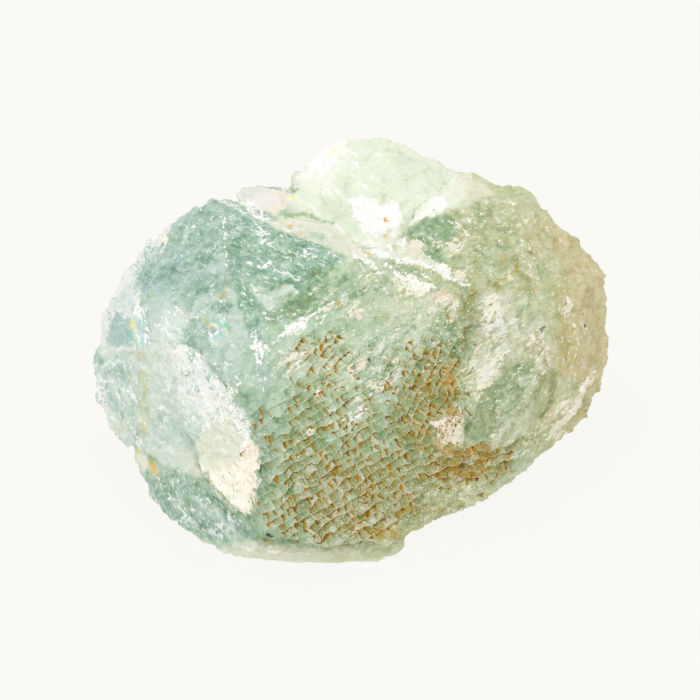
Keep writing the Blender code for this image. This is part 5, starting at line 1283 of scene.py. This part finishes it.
def keep_attribute(mesh, name, kind, values):
    field = {"FLOAT": "value", "FLOAT_VECTOR": "vector", "FLOAT_COLOR": "color"}[kind]
    attribute = mesh.attributes.new(name, kind, "POINT")
    attribute.data.foreach_set(field, np.ascontiguousarray(values, np.float32).ravel())


def keep_colours(mesh, name, colours):
    light = np.minimum(linear(colours) * PAINT_GAIN, MOST_LIGHT)
    keep_attribute(mesh, name, "FLOAT_COLOR", np.hstack([light, np.ones((len(colours), 1))]))


def painted(stone):
    """Gives the stone its colours and the fields that its material reads."""
    mesh = stone.data
    points = mesh_points(mesh)
    normals = mesh_normals(mesh)
    shown = facing_eye(normals) * clear_view(points, normals, mesh)
    points = points / MM - np.array(TO_FRAME)
    pixels = picture_pixels(points)
    hidden, front = hidden_coat(points, pixels), marked_coat(points, pixels)
    coat = {key: hidden[key] + (front[key] - hidden[key]) * (shown[:, None] if key != "frost" else shown)
            for key in hidden}
    keep_colours(mesh, "body", coat["body"])
    keep_colours(mesh, "tint", coat["tint"])
    keep_attribute(mesh, "frost", "FLOAT", coat["frost"])
    keep_attribute(mesh, "rust", "FLOAT", field_strength(RUST_FIELDS, pixels) * shown)
    tiles = lattice(pixels)
    tiles[:, 2] *= shown
    keep_attribute(mesh, "tiles", "FLOAT_VECTOR", tiles)
    keep_attribute(mesh, "place", "FLOAT_VECTOR", eye_places(points))
    lays = [field_strength(fields, pixels) for fields in GRAIN_FIELDS]
    keep_attribute(mesh, "grain", "FLOAT_VECTOR", np.stack(lays, axis=1))


# Where the grain runs: along the roof, down the left side, up to the right.
GRAIN_FIELDS = [
    [((280, 250, 90, 40, 27), 1), ((210, 250, 50, 50, 0), 0.7), ((400, 170, 70, 40, 20), 0.6)],
    [((150, 400, 70, 90, 0), 1), ((200, 500, 80, 60, 0), 1), ((255, 350, 20, 60, 0), 0.8)],
    [((400, 330, 130, 90, -35), 1), ((530, 350, 90, 110, 0), 0.8), ((490, 230, 70, 50, 0), 0.6)],
]


GRAIN_SLOPES = (-27, -60, 35)
FROST_BREAK = 3.2
FROST_SOFT = 0.16


def wire(tree, target, value):
    """Links a socket, or sets a plain value."""
    if isinstance(value, bpy.types.NodeSocket):
        tree.links.new(value, target)
    else:
        target.default_value = value


def add_node(tree, kind, inputs=(), **settings):
    node = tree.nodes.new("ShaderNode" + kind)
    for name, value in settings.items():
        setattr(node, name, value)
    for key, value in dict(inputs).items():
        wire(tree, node.inputs[key], value)
    return node


def maths(tree, operation, *values, clamp=False):
    return add_node(tree, "Math", dict(enumerate(values)), operation=operation, use_clamp=clamp).outputs[0]


def product(tree, first, *others):
    for other in others:
        first = maths(tree, "MULTIPLY", first, other)
    return first


def weighed(tree, *pairs):
    """The sum of (value - 0.5) * weight."""
    total = 0.0
    for value, weight in pairs:
        total = maths(tree, "MULTIPLY_ADD", maths(tree, "SUBTRACT", value, 0.5), weight, total)
    return total


def step_up(tree, value, start, end, low=0.0, high=1.0):
    """low before start, high after end, and the other way round where end is lower."""
    inputs = {0: value, 1: start, 2: end, 3: low, 4: high}
    return add_node(tree, "MapRange", inputs, interpolation_type="SMOOTHSTEP").outputs[0]


def mixed(tree, share, first, second, blend="MIX"):
    node = add_node(tree, "Mix", data_type="RGBA", blend_type=blend)
    for socket, value in zip((node.inputs[0], node.inputs[6], node.inputs[7]), (share, first, second)):
        wire(tree, socket, value)
    return node.outputs[2]


def tone(name):
    return (*linear(palette(name)), 1)


def read(tree, name, output="Fac"):
    return add_node(tree, "Attribute", attribute_name=name).outputs[output]


def noise_value(tree, place, scale, detail=2.0, rough=0.5):
    inputs = {"Vector": place, "Scale": scale, "Detail": detail, "Roughness": rough}
    return add_node(tree, "TexNoise", inputs).outputs[0]


def cell_tone(tree, place, scale):
    cells = add_node(tree, "TexVoronoi", {"Vector": place, "Scale": scale}).outputs["Color"]
    return add_node(tree, "SeparateColor", {0: cells}).outputs[0]


def stretched(tree, place, slope, stretch):
    """The place squeezed along one direction of the picture, so that grain there is long."""
    turn = (0.0, 0.0, radians(slope))
    inputs = {"Vector": place, "Rotation": turn, "Scale": (stretch, 1.0, 1.0)}
    return add_node(tree, "Mapping", inputs, vector_type="TEXTURE").outputs[0]


def grain_layers(tree, place):
    """(shards, scratches, flecks): random tones in shards, scratches and tiny flecks, along the local grain."""
    shares = add_node(tree, "SeparateXYZ", {0: read(tree, "grain", "Vector")}).outputs
    shards = cell_tone(tree, place, 2.4)
    scratches = noise_value(tree, place, 3.8, 3.0, 0.7)
    flecks = noise_value(tree, place, 6.0, 1.0, 0.5)
    for share, slope in zip(shares, GRAIN_SLOPES):
        long = stretched(tree, place, slope, 2.6)
        cells = cell_tone(tree, long, 3.2)
        lines = noise_value(tree, long, 4.2, 2.0, 0.6)
        shards = add_node(tree, "Mix", {0: share, 2: shards, 3: cells}).outputs[0]
        scratches = add_node(tree, "Mix", {0: share, 2: scratches, 3: lines}).outputs[0]
        dashes = noise_value(tree, stretched(tree, place, slope, 3.4), 6.4, 1.0, 0.5)
        flecks = add_node(tree, "Mix", {0: share, 2: flecks, 3: dashes}).outputs[0]
    return shards, scratches, flecks


def tile_layers(tree, place):
    """What the tiles add: dark pits, rust round them, pale row lines, painted shading for each tilted tile, where they
    are.
    """
    parts = add_node(tree, "SeparateXYZ", {0: read(tree, "tiles", "Vector")}).outputs
    row, along = parts[:2]
    for scale, reach in ((2.6, 0.3), (0.7, 0.9)):
        wander = add_node(tree, "TexNoise", {"Vector": place, "Scale": scale, "Detail": 0.0}).outputs[1]
        shift = add_node(tree, "SeparateXYZ", {0: wander}).outputs
        row = maths(tree, "ADD", row, weighed(tree, (shift[0], reach)))
        along = maths(tree, "ADD", along, weighed(tree, (shift[1], reach)))
    inside = step_up(tree, parts[2], 0.1, 0.6)
    clusters = step_up(tree, noise_value(tree, place, 0.8, 2.0, 0.6), 0.38, 0.6, 0.3, 1.1)
    rust = product(tree, read(tree, "rust"), inside, clusters)
    row_number = maths(tree, "FLOOR", row)
    up_row = maths(tree, "FRACT", row)
    down_row = maths(tree, "SUBTRACT", 1.0, up_row)
    cores, halos, tones = [], [], []
    for number, (pitch, likely) in enumerate(((1.0, 1.0), (1.8, 0.55))):
        tile = maths(tree, "MULTIPLY_ADD", row_number, ROW_SHIFT, along)
        tile = maths(tree, "MULTIPLY_ADD", tile, pitch, 0.37 * number)
        in_tile = maths(tree, "FRACT", tile)
        name = add_node(tree, "CombineXYZ", {0: row_number, 1: maths(tree, "FLOOR", tile), 2: 3.0 + number})
        chance = add_node(tree, "TexWhiteNoise", {"Vector": name.outputs[0]}).outputs
        three = add_node(tree, "SeparateColor", {0: chance[1]}).outputs
        likely_here = product(tree, rust, likely)
        pitted = maths(tree, "LESS_THAN", chance[0], likely_here)
        struck = maths(tree, "LESS_THAN", three[0], product(tree, likely_here, 0.5))
        lined = maths(tree, "LESS_THAN", three[1], product(tree, likely_here, 0.3))
        from_corner = maths(tree, "MULTIPLY_ADD", down_row, 0.75, in_tile)
        size = maths(tree, "MULTIPLY_ADD", three[2], 0.34, 0.2)
        depth = maths(tree, "SUBTRACT", size, from_corner)
        pit = product(tree, step_up(tree, depth, -0.04, 0.04), pitted)
        start = maths(tree, "MULTIPLY_ADD", three[2], 0.7, 0.0)
        high = step_up(tree, maths(tree, "SUBTRACT", up_row, start), -0.05, 0.05)
        stroke = product(tree, step_up(tree, in_tile, 0.17, 0.11), high, struck)
        seam = product(tree, step_up(tree, up_row, 0.8, 0.87), lined)
        cores.append(maths(tree, "MAXIMUM", maths(tree, "MAXIMUM", pit, stroke), seam))
        halo = product(tree, step_up(tree, depth, -0.55, 0.05), pitted)
        halos.append(maths(tree, "MAXIMUM", halo, product(tree, step_up(tree, in_tile, 0.5, 0.1), high, struck)))
        # painted shade of each tilted tile: a ramp across its face and a random tone per tile, as the light would fall
        # on it
        slope = maths(tree, "SUBTRACT", in_tile, up_row)
        tones.append(maths(tree, "MULTIPLY_ADD", slope, 0.4, three[2]))
    core, halo = maths(tree, "MAXIMUM", *cores), maths(tree, "MAXIMUM", *halos)
    halo = maths(tree, "MAXIMUM", halo, product(tree, rust, 0.3))
    middle = maths(tree, "ABSOLUTE", maths(tree, "SUBTRACT", up_row, 0.05))
    row_line = product(tree, step_up(tree, middle, 0.08, 0.03), inside)
    tile_shading = maths(tree, "MULTIPLY_ADD", tones[1], 0.4, product(tree, tones[0], 0.6))
    return core, halo, row_line, tile_shading, inside


def stone_material():
    """Translucent fluorite: painted body, broken frost over it, brown pits between the tiles."""
    material = bpy.data.materials.new("fluorite")
    material.use_nodes = True
    tree = material.node_tree
    shader = tree.nodes["Principled BSDF"]
    place = read(tree, "place", "Vector")
    frost = read(tree, "frost")
    body = read(tree, "body", "Color")
    tint = read(tree, "tint", "Color")
    shards, scratches, flecks = grain_layers(tree, place)
    patches = noise_value(tree, place, 1.6, 2.0, 0.6)
    veils = noise_value(tree, stretched(tree, place, 40, 1.8), 0.75, 2.0, 0.6)
    core, halo, row_line, tile_shading, inside = tile_layers(tree, place)

    # body: shards and scratches lighten or deepen it, more where it is dark
    green = add_node(tree, "SeparateColor", {0: body}).outputs[0]
    contrast = step_up(tree, green, 0.85, 0.3, 0.4, 1.0)
    flakes = cell_tone(tree, stretched(tree, place, 50, 1.7), 1.15)
    pattern = weighed(tree, (scratches, 0.95), (shards, 0.5), (flakes, 0.45), (patches, 1.3), (veils, 1.8))
    pattern = product(tree, pattern, maths(tree, "MULTIPLY_ADD", inside, -0.4, 1.0))
    # the tiles' painted shading joins the body's pattern, and through it the lightening, deepening and frost shade
    # below
    tiled = product(tree, weighed(tree, (tile_shading, 1.6)), inside)
    pattern = product(tree, maths(tree, "ADD", pattern, tiled), contrast)
    lighter = maths(tree, "MULTIPLY", pattern, 0.55, clamp=True)
    deeper = maths(tree, "MULTIPLY", pattern, -0.85, clamp=True)
    colour = mixed(tree, lighter, body, (0.86, 0.92, 0.86, 1))
    colour = mixed(tree, deeper, colour, colour, "MULTIPLY")
    # bright flecks: partly white crystal flecks, partly painted glints of light off tiny facets
    specks = step_up(tree, flecks, 0.6, 0.65)
    to_right = step_up(tree, add_node(tree, "SeparateXYZ", {0: place}).outputs[0], -6.0, 8.0)
    fleck = mixed(tree, to_right, tone("ice"), tone("fleck"))
    colour = mixed(tree, product(tree, specks, contrast, 0.52), colour, fleck)
    nicks = product(tree, step_up(tree, flecks, 0.4, 0.33), contrast, 0.25)
    colour = mixed(tree, nicks, colour, colour, "MULTIPLY")
    colour = mixed(tree, product(tree, row_line, 0.6), colour, tone("pale sage"))
    colour = mixed(tree, product(tree, halo, 0.88), colour, tone("ochre"))
    pit = mixed(tree, step_up(tree, flakes, 0.5, 0.9, 0.0, 0.5), tone("brown"), tone("rust"))
    colour = mixed(tree, core, colour, pit)

    # frost: broken up by the same grain, so that it lies in crisp crumbs
    ragged = weighed(tree, (scratches, FROST_BREAK), (shards, 0.3), (patches, 1.0))
    cover = step_up(tree, maths(tree, "ADD", ragged, frost), 0.5 - FROST_SOFT, 0.5 + FROST_SOFT)
    shade = maths(tree, "MULTIPLY", pattern, -0.35, clamp=True)
    tint = mixed(tree, shade, tint, tint, "MULTIPLY")
    colour = mixed(tree, cover, colour, tint)
    wire(tree, shader.inputs["Base Color"], colour)
    wire(tree, shader.inputs["Roughness"], maths(tree, "MULTIPLY_ADD", cover, 0.25, 0.36))
    shader.inputs["IOR"].default_value = 1.434
    shader.inputs["Specular IOR Level"].default_value = 0.1
    shader.inputs["Subsurface Weight"].default_value = 0.12
    shader.inputs["Subsurface Radius"].default_value = (1, 1, 0.8)
    shader.inputs["Subsurface Scale"].default_value = 0.5 * MM
    height = weighed(tree, (shards, 0.4), (scratches, 0.6), (flakes, 0.5))
    bump = add_node(tree, "Bump", {"Height": height, "Strength": 0.6, "Distance": 0.15 * MM})
    wire(tree, shader.inputs["Normal"], bump.outputs[0])
    return material


FLOOR_COLOUR = (0.956, 0.947, 0.905, 1)
FLOOR_GLOW = 0.93
SENSOR = 36
LENS = 219.8


def floor_plane():
    mesh = bpy.data.meshes.new("floor")
    reach = 3
    mesh.from_pydata([(-reach, -reach, 0), (reach, -reach, 0), (reach, reach, 0), (-reach, reach, 0)], [],
                     [(0, 1, 2, 3)])
    plane = bpy.data.objects.new("floor", mesh)
    bpy.context.scene.collection.objects.link(plane)
    material = bpy.data.materials.new("floor")
    material.use_nodes = True
    shader = material.node_tree.nodes["Principled BSDF"]
    shader.inputs["Base Color"].default_value = (*(part * (1 - FLOOR_GLOW) for part in FLOOR_COLOUR[:3]), 1)
    shader.inputs["Emission Color"].default_value = FLOOR_COLOUR
    shader.inputs["Emission Strength"].default_value = FLOOR_GLOW
    shader.inputs["Specular IOR Level"].default_value = 0
    shader.inputs["Roughness"].default_value = 1
    mesh.materials.append(material)
    return plane


def soft_light(name, place, size, power, target):
    light = bpy.data.lights.new(name, "AREA")
    light.size = size
    light.energy = power
    lamp = bpy.data.objects.new(name, light)
    lamp.location = place
    lamp.rotation_euler = (target - Vector(place)).to_track_quat("-Z", "Y").to_euler()
    bpy.context.scene.collection.objects.link(lamp)


def studio(middle):
    world = bpy.data.worlds.new("studio")
    world.use_nodes = True
    background = world.node_tree.nodes["Background"]
    background.inputs[0].default_value = (0.96, 0.955, 0.93, 1)
    background.inputs[1].default_value = 0.88
    bpy.context.scene.world = world
    soft_light("key", (-0.06, -0.16, 0.45), 0.2, 0.55, middle)
    bpy.context.scene.view_settings.view_transform = "Standard"


def camera(middle):
    lens = bpy.data.cameras.new("camera")
    lens.sensor_width = SENSOR
    lens.lens = LENS
    lens.clip_start = 0.01
    eye = bpy.data.objects.new("camera", lens)
    eye.location = middle + EYE_DISTANCE * MM * Vector(EYE_DIRECTION)
    eye.rotation_euler = (-Vector(EYE_DIRECTION)).to_track_quat("-Z", "Y").to_euler()
    bpy.context.scene.collection.objects.link(eye)
    bpy.context.scene.camera = eye


mesh = fused_skin()
stone = thinned(mesh, raised(mesh))
painted(stone)
stone.data.materials.clear()
stone.data.materials.append(stone_material())
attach(stone, "root")
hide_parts("fluorite")
floor_plane()
middle = (TO_FRAME + Vector((0, 0, MIDDLE_HEIGHT))) * MM
studio(middle)
camera(middle)
